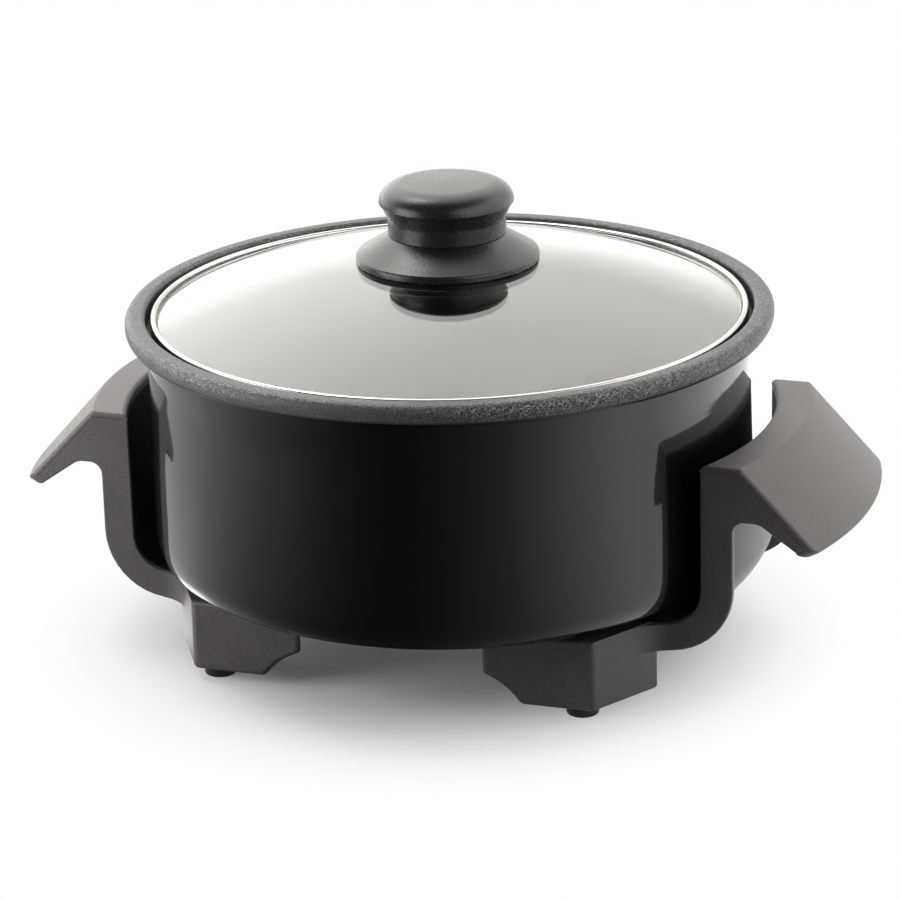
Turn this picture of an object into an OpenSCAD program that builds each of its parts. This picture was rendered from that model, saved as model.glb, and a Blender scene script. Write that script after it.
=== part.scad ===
// Round electric skillet with a lift-off glass lid, two channel handles and four rubber feet.
// Millimetres. The table is z = 0, x runs through the two handles and +y is the back.

/* [Pan] */
// Outer radius of the pan wall just under the rim bead
pan_r = 102.5; // [96:0.5:108]
// Height of the pan from its underside to the top of the rim
pan_h = 88.7; // [75:0.5:100]
// How far the wall draws in from the bead to the bottom corner
pan_draft = 1.9; // [0.5:0.1:3]
// Radius of the outer bottom corner
pan_corner = 7; // [5:0.5:10]
// Thickness of the pan wall
pan_wall = 2.3; // [1.8:0.1:2.8]
// Thickness of the pan base
pan_base = 3.5; // [3:0.1:5]
// Radial step from the outside of the wall to the inner face of the bead
rim_step = 1.0; // [0.6:0.1:1.6]
// Radial width of the rim bead
rim_w = 6.9; // [6:0.1:8.5]
// Height of the rim bead
rim_h = 6.3; // [5.6:0.1:7]
// Rounding of the bead's outer corners
rim_round = 2.7; // [1.6:0.1:2.8]
// Rounding of the bead's inner top edge
rim_inner_round = 1.6; // [0.8:0.1:2]
// Depth of the lid ledge below the top of the rim
ledge_depth = 6.5; // [6:0.1:7.5]
// Thickness of the pan under the lid ledge
ledge_t = 2.6; // [2:0.1:3.5]

/* [Lid] */
// Radial clearance between the lid band and the bead
lid_clear = 1.7; // [1:0.1:2.2]
// Gap between the lid band and the ledge under it
lid_seat_gap = 0.2; // [0.1:0.05:0.4]
// Sheet thickness of the lid band
band_t = 0.6; // [0.4:0.1:0.8]
// Width of the band's top lip
band_lip_top = 3.2; // [2.4:0.1:4]
// Width of the band's bottom lip
band_lip_low = 4.0; // [3:0.1:4.2]
// Thickness of the lid glass
glass_t = 3.4; // [3:0.1:4]
// Width of the flat edge of the glass
glass_flat = 4.1; // [3.4:0.1:5]
// Rise of the glass dome above its flat edge
glass_rise = 19.4; // [15:0.2:24]
// Play between the glass and the band
glass_play = 0.05; // [0.03:0.01:0.1]
// Radius of the hole in the glass
glass_hole_r = 3.5; // [3:0.1:4.5]

/* [Knob] */
// Radius of the widest ring of the knob
knob_r = 22.9; // [21.6:0.1:26]
// Radius of the knob's flat top
knob_top_r = 14.8; // [11:0.1:17]
// Rise of the crown over the flat top
knob_crown = 0.6; // [0.3:0.1:1.5]
// Height of the rounded shoulder from the widest ring to the flat top
knob_shoulder = 6.6; // [5:0.1:9]
// Height of the tucked edge under the widest ring
knob_tuck_h = 1.2; // [0.8:0.1:2]
// Inset of the tucked edge
knob_tuck = 1.0; // [0.6:0.1:1.4]
// Height of the undercut between the cap and the neck
knob_undercut = 4.2; // [3:0.1:6]
// Radius of the neck
neck_r = 20.0; // [18:0.1:20.4]
// Height of the neck
neck_h = 5.6; // [4:0.1:8]
// Radius of the skirt's rim
skirt_r = 31.2; // [28:0.1:36]
// Height of the skirt from its rim to the neck
skirt_h = 6.9; // [5:0.1:9]
// Height of the skirt's rim
skirt_lip = 1.5; // [1:0.1:2.5]
// Wall of the skirt
skirt_t = 2.0; // [1.6:0.1:2.4]
// Radius of the boss inside the skirt
skirt_boss_r = 10; // [8:0.5:12]
// Gap between the skirt's rim and the glass
skirt_gap = 1.1; // [0.6:0.1:2]
// Radius of the knob screw
knob_screw_r = 2.0; // [1.5:0.1:2.5]
// Radius of the brass insert
insert_r = 4.0; // [3.5:0.1:5]
// Length of the brass insert
insert_h = 11; // [8:0.5:12]
// Thickness of the gasket above the glass
gasket_min_t = 0.8; // [0.6:0.1:1.2]
// Radius of the gasket above the glass
gasket_r = 9; // [8:0.5:9.5]
// Thickness of the seal under the glass
seal_t = 1.2; // [0.8:0.1:2]
// Radius of the seal under the glass
seal_r = 11; // [9.5:0.5:13]
// Thickness of the steel washer
washer_t = 1.0; // [0.8:0.1:1.5]
// Radius of the steel washer
washer_r = 8.5; // [7.5:0.5:9.5]
// Radius of the knob screw's head
screw_head_r = 4.0; // [3.6:0.1:5]
// Height of the knob screw's head
screw_head_h = 2.6; // [2:0.1:3.5]

/* [Handle] */
// Air gap between the pan wall and the handle web
handle_gap = 8.7; // [6:0.1:12]
// Width of a handle across its side plates
grip_w = 92.9; // [84:0.1:98]
// Thickness of the side plates and the block walls
plate_t = 2.4; // [2:0.1:3]
// Thickness of the web
web_t = 2.2; // [1.8:0.1:3]
// How far the web is set back from the inner edges of the side plates
web_set = 0.8; // [0.6:0.1:1.5]
// Drop from the rim top to the top of the grip
grip_drop = 34.1; // [28:0.1:38]
// Radial width of the grip's top band
band_w = 12.2; // [10:0.1:15]
// Radial run of the sloping panel
panel_run = 24.3; // [20:0.1:28]
// Fall of the sloping panel
panel_fall = 27.0; // [23:0.1:30]
// Thickness of the grip cover
cover_t = 2.0; // [1.6:0.1:2.6]
// Seam between the grip cover and the side plates
seam = 0.1; // [0.05:0.05:0.2]
// Radial depth of the side plates below the arch
arm_depth = 10.1; // [8:0.1:13]
// Drop from the top of the grip to the arch
arch_drop = 18.7; // [17:0.1:21]
// Width of the arch under the tail
arch_w = 12.0; // [10:0.1:13]
// Rounding of the arch where it meets the arm
arch_round = 4.2; // [3:0.1:5]
// Length of the nose cut at the tip of the tail
nose_run = 4.2; // [3:0.1:5]
// Depth of the nose below the tip
nose_drop = 2.2; // [1.5:0.1:3]
// Length of the lip inside the tip of the tail
lip_l = 4.0; // [3:0.1:6]
// Inner radius of the bend under the pan
bend_in = 12.5; // [10:0.5:15]
// Outer radius of the bend of the side plates
bend_out = 23; // [20:0.5:25]
// Depth of the side plates under the seat
plate_drop = 8.4; // [6:0.1:12]

/* [Foot block] */
// Height of a foot block
block_h = 23.9; // [20:0.1:28]
// Distance of the block's front face from the middle of the pan
block_y = 69.4; // [64:0.1:74]
// Distance of the block's inner end from the middle of the pan
block_in_x = 32.4; // [31:0.1:36]
// Distance of the block's outer corner from the middle of the pan
block_corner_x = 70.8; // [68:0.1:76]
// Distance of the block's side edge from the middle of the pan
block_side_x = 84; // [80:0.5:88]
// Run of the hollow toe at the inner end
toe_run = 13.2; // [10:0.1:15]
// Rise of the hollow toe
toe_rise = 8.8; // [6:0.1:10]
// Radius of the hollow toe
toe_r = 26; // [20:1:36]
// Distance of the stiffening rib inside a block from the block's inner end
rib_in = 17; // [15:0.5:19]
// Thickness of the insulating spacer between the pan and a handle
spacer_t = 1.8; // [1.4:0.1:3]
// Outer radius of a spacer
spacer_r = 7; // [5.5:0.5:8]

/* [Rubber foot] */
// Height of a rubber foot under its block
foot_h = 4.7; // [3.5:0.1:7]
// Radius of a rubber foot
foot_r = 5.5; // [4.5:0.1:6]
// Rounding of the foot's lower edge
foot_round = 0.8; // [0.4:0.1:1.2]
// Radius of the foot's stem
stem_r = 3.0; // [2.5:0.1:3.4]
// Length of the foot's stem
stem_h = 8; // [5:0.5:12]
// Distance of the foot from the block's front face
foot_in_y = 8.4; // [7.5:0.1:10]
// Distance of the foot from the block's outer corner
foot_in_x = 6.1; // [5.8:0.1:10]
// Radius of the boss that holds the stem
foot_boss_r = 6.5; // [6.3:0.1:6.8]

/* [Heater] */
// Radius of the heat plate
plate_r = 58; // [54:0.5:60]
// Thickness of the heat plate
plate_h = 4.8; // [4.2:0.1:5.2]
// How far the tube's axis lies under the heat plate
tube_drop = 0.4; // [0.2:0.1:0.8]
// Radius of the element's ring
ring_r = 46; // [42:0.5:49]
// Radius of the element's tube
tube_r = 3.2; // [2.8:0.1:3.4]
// Radius of the bends between the ring and its legs
leg_bend = 8; // [6:0.5:9]
// Spacing of the two legs and pins
pin_pitch = 26; // [24:0.5:28]
// Radius of a terminal pin
pin_r = 2.0; // [1.6:0.1:2.4]
// Length of the pins in the open socket
pin_out = 15; // [12:0.5:17]
// Depth of a pin in its leg
pin_in = 8; // [6:0.5:9]
// Radius of a pin's shank inside its bush and leg
pin_shank_r = 1.6; // [1.2:0.1:1.9]
// Outer radius of the ceramic bushes
bush_r = 4.2; // [3.8:0.1:4.4]
// How far a bush stands out of each side of its wall
bush_proud = 1.0; // [0.6:0.1:2]
// Outer radius of the probe sleeve
sleeve_r = 4.0; // [3.8:0.1:4.2]
// Bore radius of the probe sleeve
sleeve_bore_r = 3.1; // [2.6:0.1:3.3]
// Length of the probe sleeve
sleeve_l = 50; // [42:0.5:56]
// Thickness of the sleeve's closed end
sleeve_end = 2.0; // [1:0.1:3]
// Radius of the bottom cover's flange
cover_r = 68; // [67:0.5:69]
// Radius of the bottom cover's floor
cover_floor_r = 61; // [60:0.5:62]
// Depth of the bottom cover
cover_h = 11; // [10.6:0.1:12]
// Sheet thickness of the bottom cover
cover_sheet = 0.8; // [0.6:0.1:1]
// Width of the cover's flange
cover_flange = 3.0; // [2:0.1:4]
// Radius of the cover screw
cover_screw_r = 2.0; // [1.6:0.1:2.4]
// Length of the cover screw
cover_screw_l = 6.5; // [5:0.1:7]
// Radius of the cover screw's head
cover_head_r = 4.0; // [3.4:0.1:5]
// Height of the cover screw's head
cover_head_h = 2.4; // [2:0.1:3]
// Radius of the heat plate's centre boss
boss_r = 6; // [5:0.5:8]

/* [Socket] */
// Outer width of the socket guard
guard_w = 46; // [42:0.5:48]
// Depth of the socket guard, front to back
guard_l = 23; // [20:0.5:26]
// Outer height of the socket guard
guard_h = 14.4; // [13.5:0.1:16]
// Wall of the socket guard
guard_t = 2.0; // [1.6:0.1:2.4]
// Distance of the guard's wall from the bottom cover
guard_off = 1.0; // [0.6:0.1:2]
// Distance from a guard stud to the outer edge of its ear
ear_rim = 4.5; // [4:0.1:6]
// Length of a fixing ear
ear_l = 10; // [9:0.5:12]
// Thickness of a fixing ear
ear_t = 1.6; // [1.2:0.1:1.7]
// Gap between a nut's flange and the wall beside it
nut_clear = 0.4; // [0.3:0.1:1]

/* [Fasteners] */
// Radius of the weld studs
stud_r = 2.5; // [2:0.1:3]
// Length of the handle studs
stud_l = 13; // [11:0.5:16]
// Length of the guard studs
guard_stud_l = 8; // [7:0.5:9]
// Gap between the bottom cover's flange and a spacer
stud_gap = 5.1; // [4.5:0.1:7]
// Distance of the handle studs from the middle of the pan, along y
stud_y = 33; // [30:0.5:36]
// Radius across the corners of the nuts
nut_r = 4.6; // [4.2:0.1:5]
// Height of the nuts
nut_h = 3.6; // [3:0.1:4.5]
// Radius of the nut flange
nut_flange_r = 5.2; // [5:0.1:6]
// Height of the nut flange
nut_flange_h = 1.0; // [0.8:0.1:1.4]
// Radius of the grip screws
grip_screw_r = 1.5; // [1.2:0.1:1.8]
// Radius of the grip screws' heads
grip_head_r = 3.0; // [2.4:0.1:3.6]
// Height of the grip screws' heads
grip_head_h = 1.8; // [1.6:0.1:2.4]
// Half spacing of the grip screws
grip_screw_y = 26; // [20:0.5:34]
// Height of the bosses under the grip cover
grip_boss_h = 5; // [4:0.1:7]
// Radius of the bosses under the grip cover
grip_boss_r = 3.4; // [3:0.1:4]
// Clearance of bolts in their holes
bolt_clear = 0.2; // [0.1:0.05:0.3]
// Width of the slots in the screw heads
slot_w = 1.0; // [0.6:0.1:1.4]
// Depth of the slots in the screw heads
slot_d = 1.2; // [0.8:0.1:1.5]
// Room past the tip of a screw
screw_tip = 0.6; // [0.3:0.1:1]
// Radial fit of pins, stems and threads in their seats
snug = 0.03; // [0.02:0.01:0.05]

/* [Hidden] */
$fn = 96;
// Overlap of cutting tools past the faces that they cut
cut = 1;
// Size of the boxes that trim the revolved shapes
reach = 400;
// Points on each quarter of a drawn arc
arc_n = 10;

// Heights, from the table up
seat_z = foot_h + block_h;
pan_z = seat_z + spacer_t;
rim_z = pan_z + pan_h;
ledge_z = rim_z - ledge_depth;
rim_in_r = pan_r + rim_step;
rim_r = rim_in_r + rim_w;
pan_low_r = pan_r - pan_draft;
inner_corner = pan_corner - pan_wall;

// Lid
band_r = rim_in_r - lid_clear;
band_z = ledge_z + lid_seat_gap;
glass_low_z = band_z + band_t + glass_play;
glass_edge_z = glass_low_z + glass_t;
band_top_z = glass_edge_z + glass_play + band_t;
glass_r = band_r - band_t - glass_play;
dome_r = glass_r - glass_flat;
glass_ball = (dome_r * dome_r + glass_rise * glass_rise) / (2 * glass_rise);
glass_ball_z = glass_edge_z + glass_rise - glass_ball;

// Knob, from the glass up
skirt_z = dome_z(skirt_r, 0) + skirt_gap;
neck_z = skirt_z + skirt_lip + skirt_h;
knob_low_z = neck_z + neck_h;
knob_crease_z = knob_low_z + knob_undercut;
knob_wide_z = knob_crease_z + knob_tuck_h;
knob_flat_z = knob_wide_z + knob_shoulder;
glass_top_z = dome_z(glass_hole_r, 0);
gasket_z = glass_top_z + gasket_min_t;
seal_z = dome_z(seal_r, glass_t) - glass_play - seal_t;
washer_z = seal_z - washer_t;
screw_z = washer_z - screw_head_h;
insert_z = neck_z;

// Handle
web_r = pan_r + handle_gap;
web_w = grip_w - plate_t;
grip_z = rim_z - grip_drop;
crease_r = web_r + band_w;
tip_r = crease_r + panel_run;
tip_z = grip_z - panel_fall;
panel_l = norm([panel_run, panel_fall]);
under_z = grip_z - cover_t;
under_r = crease_r - cover_t * panel_fall / panel_l
    + cover_t * (panel_l - panel_run) / panel_fall * panel_run / panel_l;
under_tip = [tip_r - cover_t * panel_fall / panel_l, tip_z - cover_t * panel_run / panel_l];
arch_z = grip_z - arch_drop;
shelf_z = under_z - grip_boss_h - web_t;
shelf_r = web_r + band_w - cover_t;
grip_screw_ring = (web_r + web_t + crease_r) / 2;
grip_screw_x = sqrt(grip_screw_ring * grip_screw_ring - grip_screw_y * grip_screw_y);
arm_in_x = plate_x(web_r);
arm_out_x = plate_x(web_r + arm_depth);
tip_x = plate_x(tip_r);
plate_low_z = seat_z - plate_drop;
plate_end_x = block_side_x - 2 * plate_t;
stud_x = sqrt(pow(cover_r + stud_gap + spacer_r, 2) - stud_y * stud_y);
tray_r = cover_r + cover_flange;
foot_x = block_corner_x - foot_in_x;
foot_y = block_y - foot_in_y;

// Heater and socket
tube_z = pan_z - plate_h - tube_drop;
pin_x = pin_pitch / 2;
bend_x = pin_x + leg_bend;
bend_y = sqrt(pow(ring_r + leg_bend, 2) - bend_x * bend_x);
leg_angle = atan2(bend_y, bend_x);
guard_y = cover_r + guard_off;
leg_end_y = guard_y - bush_proud;
guard_in_y = guard_y + guard_t;
pin_end_y = guard_in_y + pin_out;
guard_z = pan_z - guard_h;
ear_x = guard_w / 2 + nut_clear + nut_flange_r;
ear_y = max(guard_y + ear_l / 2, block_y + nut_clear + nut_flange_r);
cover_z = pan_z - cover_h;

// Height of the dome at a radius, the given depth below its outer face
function dome_z(r, depth) = glass_ball_z + sqrt(pow(glass_ball - depth, 2) - r * r);
// Place along x of a point at a radius, in the outer plane of a side plate
function plate_x(r) = sqrt(r * r - grip_w * grip_w / 4);
// Points of an arc about a centre
function arc(c, r, from, to) = [
    for (i = [0:arc_n]) let (a = from + (to - from) * i / arc_n) c + r * [cos(a), sin(a)]
];
// Corner of a convex outline moved in by a distance along both its edges
function unit(v) = v / norm(v);
function inset_point(p, i, d) = let (
    n = len(p),
    u = unit(p[i] - p[(i + n - 1) % n]),
    v = unit(p[(i + 1) % n] - p[i]),
    turn = u[0] * v[1] - u[1] * v[0]
) p[i] + d * (v - u) / turn;
function inset(p, d) = [for (i = [0:len(p) - 1]) inset_point(p, i, d)];

// Trims a revolved shape to a width about the handle's middle
module handle_width(w) {
    intersection() {
        children();
        translate([0, -w / 2, -cut]) cube([reach, w, reach]);
    }
}

// Bar along y from one place to another
module along_y(from, to, r) {
    translate([0, from, 0]) rotate([-90, 0, 0]) cylinder(h = to - from, r = r);
}

module ring(h, r, hole) {
    difference() {
        cylinder(h = h, r = r);
        translate([0, 0, -cut]) cylinder(h = h + 2 * cut, r = hole);
    }
}

// Screw with its slotted head at the bottom
module slotted_screw(r, l, head_r, head_h) {
    difference() {
        union() {
            cylinder(h = head_h, r = head_r);
            cylinder(h = head_h + l, r = r);
        }
        translate([-head_r - cut, -slot_w / 2, -cut]) cube([2 * (head_r + cut), slot_w, slot_d + cut]);
    }
}

// Flanged hex nut, flange up
module nut() {
    difference() {
        union() {
            cylinder(h = nut_h, r = nut_r, $fn = 6);
            translate([0, 0, nut_h - nut_flange_h]) cylinder(h = nut_flange_h, r = nut_flange_r);
        }
        translate([0, 0, -cut]) cylinder(h = nut_h + 2 * cut, r = stud_r + snug);
    }
}

module at_handle_studs() {
    for (x = [-1, 1], y = [-1, 1]) translate([x * stud_x, y * stud_y, 0]) children();
}

module at_guard_studs() {
    for (x = [-1, 1]) translate([x * ear_x, ear_y, 0]) children();
}

module at_pins() {
    for (x = [-1, 1]) translate([x * pin_x, 0, tube_z]) children();
}

module at_grip_screws() {
    for (y = [-1, 1]) translate([grip_screw_x, y * grip_screw_y, 0]) children();
}

// Lid

module lid_glass() {
    top = asin(dome_r / glass_ball);
    low = acos((glass_low_z - glass_ball_z) / (glass_ball - glass_t));
    centre = [0, glass_ball_z];
    color("lightcyan", 0.5) difference() {
        rotate_extrude() polygon(concat(
            arc(centre, glass_ball, 90, 90 - top),
            [[glass_r, glass_edge_z], [glass_r, glass_low_z]],
            arc(centre, glass_ball - glass_t, 90 - low, 90)
        ));
        translate([0, 0, glass_low_z]) cylinder(h = reach, r = glass_hole_r);
    }
}

module lid_band() {
    color("gainsboro") rotate_extrude() polygon([
        [band_r - band_lip_low, band_z],
        [band_r, band_z],
        [band_r, band_top_z],
        [band_r - band_lip_top, band_top_z],
        [band_r - band_lip_top, band_top_z - band_t],
        [band_r - band_t, band_top_z - band_t],
        [band_r - band_t, band_z + band_t],
        [band_r - band_lip_low, band_z + band_t]
    ]);
}

module knob_grip() {
    // Quarter ellipse from the flat top down to the widest ring
    shoulder = [for (i = [0:arc_n]) let (a = 90 - 90 * i / arc_n)
        [knob_top_r + (knob_r - knob_top_r) * cos(a), knob_wide_z + knob_shoulder * sin(a)]];
    color("dimgray") difference() {
        rotate_extrude() polygon(concat(
            [[0, neck_z], [neck_r, neck_z], [neck_r, knob_low_z], [knob_r - knob_tuck, knob_crease_z]],
            [for (i = [arc_n:-1:0]) shoulder[i]],
            [[0, knob_flat_z + knob_crown]]
        ));
        translate([0, 0, insert_z - cut]) cylinder(h = insert_h + cut, r = insert_r + snug);
    }
}

module knob_skirt() {
    color("dimgray") difference() {
        rotate_extrude() polygon([
            [0, gasket_z],
            [skirt_boss_r, gasket_z],
            [skirt_boss_r, neck_z - skirt_t],
            [neck_r - skirt_t, neck_z - skirt_t],
            [skirt_r - skirt_t, skirt_z],
            [skirt_r, skirt_z],
            [skirt_r, skirt_z + skirt_lip],
            [neck_r, neck_z],
            [0, neck_z]
        ]);
        translate([0, 0, gasket_z - cut]) cylinder(h = reach, r = knob_screw_r + bolt_clear);
    }
}

module knob_insert() {
    color("goldenrod") translate([0, 0, insert_z]) ring(insert_h, insert_r, knob_screw_r + snug);
}

module knob_gasket() {
    color("black") translate([0, 0, glass_top_z])
        ring(gasket_z - glass_top_z, gasket_r, knob_screw_r + bolt_clear);
}

module knob_seal() {
    color("whitesmoke") translate([0, 0, seal_z]) ring(seal_t, seal_r, knob_screw_r + bolt_clear);
}

module knob_washer() {
    color("silver") translate([0, 0, washer_z]) ring(washer_t, washer_r, knob_screw_r + bolt_clear);
}

module knob_screw() {
    color("silver") translate([0, 0, screw_z])
        slotted_screw(knob_screw_r, insert_z + insert_h - screw_tip - washer_z, screw_head_r, screw_head_h);
}

// Pan and heater

module pan() {
    inner_top = pan_r - pan_wall;
    inner_low = pan_low_r - pan_wall;
    floor_z = pan_z + pan_base;
    bead_low = rim_z - rim_h;
    color("#2a2a2c") rotate_extrude() polygon(concat(
        [[0, pan_z]],
        arc([pan_low_r - pan_corner, pan_z + pan_corner], pan_corner, -90, 0),
        [[pan_r, ledge_z - ledge_t]],
        arc([rim_r - rim_round, bead_low + rim_round], rim_round, -90, 0),
        arc([rim_r - rim_round, rim_z - rim_round], rim_round, 0, 90),
        arc([rim_in_r + rim_inner_round, rim_z - rim_inner_round], rim_inner_round, 90, 180),
        [[rim_in_r, ledge_z], [inner_top, ledge_z]],
        arc([inner_low - inner_corner, floor_z + inner_corner], inner_corner, 0, -90),
        [[0, floor_z]]
    ));
}

// Cast plate with a groove for the ring and a recess where the legs and the sleeve leave it
module heat_plate() {
    low_z = tube_z + tube_drop;
    boss_z = cover_z + cover_sheet;
    recess_h = tube_r + bolt_clear;
    color("silver") difference() {
        union() {
            translate([0, 0, low_z]) cylinder(h = plate_h, r = plate_r);
            translate([0, 0, boss_z]) cylinder(h = pan_z - boss_z, r = boss_r);
        }
        translate([0, 0, tube_z]) rotate_extrude() translate([ring_r, 0]) circle(r = tube_r + snug);
        translate([-bend_x, ring_r - leg_bend, tube_z]) cube([2 * bend_x, reach, recess_h]);
        translate([0, 0, tube_z]) along_y(guard_in_y - sleeve_l - snug, reach, sleeve_r + snug);
        translate([0, 0, boss_z - cut]) cylinder(h = cut + cover_screw_l, r = cover_screw_r + snug);
    }
}

// Open ring with two legs that bend out to the socket
module element_path(r) {
    translate([0, 0, tube_z]) rotate([0, 0, 180 - leg_angle])
        rotate_extrude(angle = 180 + 2 * leg_angle) translate([ring_r, 0]) circle(r = r);
    for (m = [0, 1]) mirror([m, 0, 0]) {
        translate([bend_x, bend_y, tube_z]) rotate([0, 0, 180])
            rotate_extrude(angle = leg_angle) translate([leg_bend, 0]) circle(r = r);
        translate([pin_x, 0, tube_z]) along_y(bend_y, leg_end_y, r);
        // Straight core that carries the tube on from the ring into the bend
        rotate([0, 0, leg_angle]) translate([ring_r, 0, tube_z]) along_y(-r / 2, r / 2, r / 2);
    }
}

module heating_element() {
    color("darkolivegreen") difference() {
        element_path(tube_r);
        at_pins() along_y(leg_end_y - pin_in, leg_end_y + cut, pin_shank_r + snug);
    }
}

module probe_sleeve() {
    color("lightgray") translate([0, 0, tube_z]) difference() {
        along_y(guard_in_y - sleeve_l, guard_in_y, sleeve_r);
        along_y(guard_in_y - sleeve_l + sleeve_end, guard_in_y + cut, sleeve_bore_r);
    }
}

module terminal_pins() {
    color("silver") at_pins() {
        along_y(leg_end_y - pin_in, guard_in_y + bush_proud, pin_shank_r);
        along_y(guard_in_y + bush_proud, pin_end_y - pin_r, pin_r);
        translate([0, pin_end_y - pin_r, 0]) sphere(r = pin_r);
    }
}

module pin_bushes() {
    color("white") at_pins() difference() {
        along_y(leg_end_y, guard_in_y + bush_proud, bush_r);
        along_y(leg_end_y - cut, guard_in_y + bush_proud + cut, pin_shank_r + snug);
    }
}

module bottom_cover() {
    flange_z = pan_z - cover_sheet;
    floor_z = cover_z + cover_sheet;
    color("gray") difference() {
        rotate_extrude() polygon([
            [0, cover_z],
            [cover_floor_r, cover_z],
            [cover_r - cover_flange, flange_z],
            [cover_r, flange_z],
            [cover_r, pan_z],
            [cover_r - cover_flange - cover_sheet, pan_z],
            [cover_floor_r - cover_sheet, floor_z],
            [0, floor_z]
        ]);
        translate([0, 0, cover_z - cut]) cylinder(h = reach, r = cover_screw_r + bolt_clear);
        at_pins() along_y(0, reach, tube_r + bolt_clear);
        translate([0, 0, tube_z]) along_y(0, reach, sleeve_r + bolt_clear);
    }
}

module cover_screw() {
    color("silver") translate([0, 0, cover_z - cover_head_h])
        slotted_screw(cover_screw_r, cover_screw_l, cover_head_r, cover_head_h);
}

module socket_guard() {
    inner_w = guard_w - 2 * guard_t;
    inner_h = guard_h - 2 * guard_t;
    color("#303032") difference() {
        union() {
            translate([-guard_w / 2, guard_y, guard_z]) cube([guard_w, guard_l, guard_h]);
            translate([-ear_x - ear_rim, ear_y - ear_l / 2, pan_z - ear_t])
                cube([2 * (ear_x + ear_rim), ear_l, ear_t]);
        }
        translate([-inner_w / 2, guard_in_y, guard_z + guard_t]) cube([inner_w, guard_l, inner_h]);
        at_pins() along_y(0, guard_in_y + cut, bush_r + snug);
        translate([0, 0, tube_z]) along_y(0, guard_in_y + cut, sleeve_r + snug);
        translate([0, 0, pan_z - ear_t - cut]) at_guard_studs()
            cylinder(h = ear_t + 2 * cut, r = stud_r + bolt_clear);
    }
}

module guard_studs() {
    color("silver") at_guard_studs() translate([0, 0, pan_z - guard_stud_l])
        cylinder(h = guard_stud_l, r = stud_r);
}

module guard_nuts() {
    color("silver") at_guard_studs() translate([0, 0, pan_z - ear_t - nut_h]) nut();
}

// Handles and feet

// Wall that follows the pan and turns under it to the seat
module web() {
    wall_r = web_r + web_set;
    centre = [wall_r - bend_in, seat_z + bend_in];
    handle_width(web_w) rotate_extrude() polygon(concat(
        [[tray_r, seat_z]],
        arc(centre, bend_in, -90, 0),
        [[wall_r, under_z - seam], [wall_r + web_t, under_z - seam]],
        arc(centre, bend_in + web_t, 0, -90),
        [[tray_r, seat_z - web_t]]
    ));
}

// Shelf under the grip cover that takes the grip screws
module shelf() {
    handle_width(web_w) translate([0, 0, shelf_z]) ring(web_t, shelf_r, web_r + web_set);
}

// Lip that joins the two side plates along the tip of the tail
module tail_lip() {
    in_tip = under_tip - lip_l * [panel_run, -panel_fall] / panel_l;
    handle_width(web_w) rotate_extrude() polygon([
        in_tip - seam * [panel_fall, panel_run] / panel_l,
        under_tip - seam * [panel_fall, panel_run] / panel_l,
        under_tip - [nose_drop, nose_drop],
        in_tip - [nose_drop, nose_drop]
    ]);
}

// Flat side plate with the arch, the tail and the bend under the pan
module side_plate() {
    bend_x0 = arm_in_x - bend_in;
    difference() {
        translate([0, plate_t - grip_w / 2, 0]) rotate([90, 0, 0]) linear_extrude(plate_t) polygon(concat(
            [[arm_in_x, grip_z], [plate_x(crease_r), grip_z], [tip_x, tip_z]],
            [[tip_x - nose_run, tip_z - nose_drop], [arm_out_x + arch_w, arch_z - nose_drop]],
            [[arm_out_x + arch_w - nose_drop, arch_z]],
            arc([arm_out_x + arch_round, arch_z - arch_round], arch_round, 90, 180),
            arc([arm_out_x - bend_out, plate_low_z + bend_out], bend_out, 0, -90),
            [[plate_end_x, plate_low_z], [plate_end_x, seat_z]],
            arc([bend_x0, seat_z + bend_in], bend_in, -90, 0)
        ));
        cover_zone();
    }
}

// Space that the grip cover takes, with its seam
module cover_zone() {
    rotate_extrude() polygon([
        [tray_r, under_z - seam],
        [under_r, under_z - seam],
        under_tip - seam * [panel_fall, panel_run] / panel_l,
        [reach, under_tip[1] - reach],
        [reach, reach],
        [tray_r, reach]
    ]);
}

// Hollow block with a curved toe, open below, that carries a rubber foot
module foot_block() {
    plate_y = grip_w / 2 - plate_t;
    slant = (block_side_x - block_corner_x) / (block_y - grip_w / 2);
    outline = [
        [block_in_x, -block_y],
        [block_corner_x, -block_y],
        [block_side_x + slant * plate_t, -plate_y],
        [block_in_x, -plate_y]
    ];
    toe_l = norm([toe_run, toe_rise]);
    toe_off = sqrt(toe_r * toe_r - toe_l * toe_l / 4);
    difference() {
        union() {
            difference() {
                translate([0, 0, foot_h]) linear_extrude(block_h) polygon(outline);
                difference() {
                    translate([0, 0, foot_h - cut])
                        linear_extrude(block_h + cut - web_t) polygon(inset(outline, plate_t));
                    cylinder(h = reach, r = tray_r + plate_t);
                    translate([block_in_x + rib_in, -reach, 0]) cube([plate_t, reach, reach]);
                }
                translate([
                    block_in_x + toe_run / 2 - toe_off * toe_rise / toe_l,
                    0,
                    foot_h + toe_rise / 2 - toe_off * toe_run / toe_l
                ]) along_y(-reach, reach, toe_r);
            }
            translate([foot_x, -foot_y, foot_h]) cylinder(h = block_h, r = foot_boss_r);
        }
        cylinder(h = reach, r = tray_r);
        translate([foot_x, -foot_y, foot_h - cut]) cylinder(h = stem_h + 2 * cut, r = stem_r + snug);
    }
}

module handle() {
    color("#4a4846") difference() {
        union() {
            web();
            shelf();
            tail_lip();
            for (m = [0, 1]) mirror([0, m, 0]) {
                side_plate();
                foot_block();
            }
        }
        at_handle_studs() translate([0, 0, seat_z - web_t - cut])
            cylinder(h = web_t + 2 * cut, r = stud_r + bolt_clear);
        at_grip_screws() translate([0, 0, shelf_z - cut])
            cylinder(h = web_t + 2 * cut, r = grip_screw_r + bolt_clear);
    }
}

module handle_left() {
    mirror([1, 0, 0]) handle();
}

module handle_right() {
    handle();
}

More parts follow.
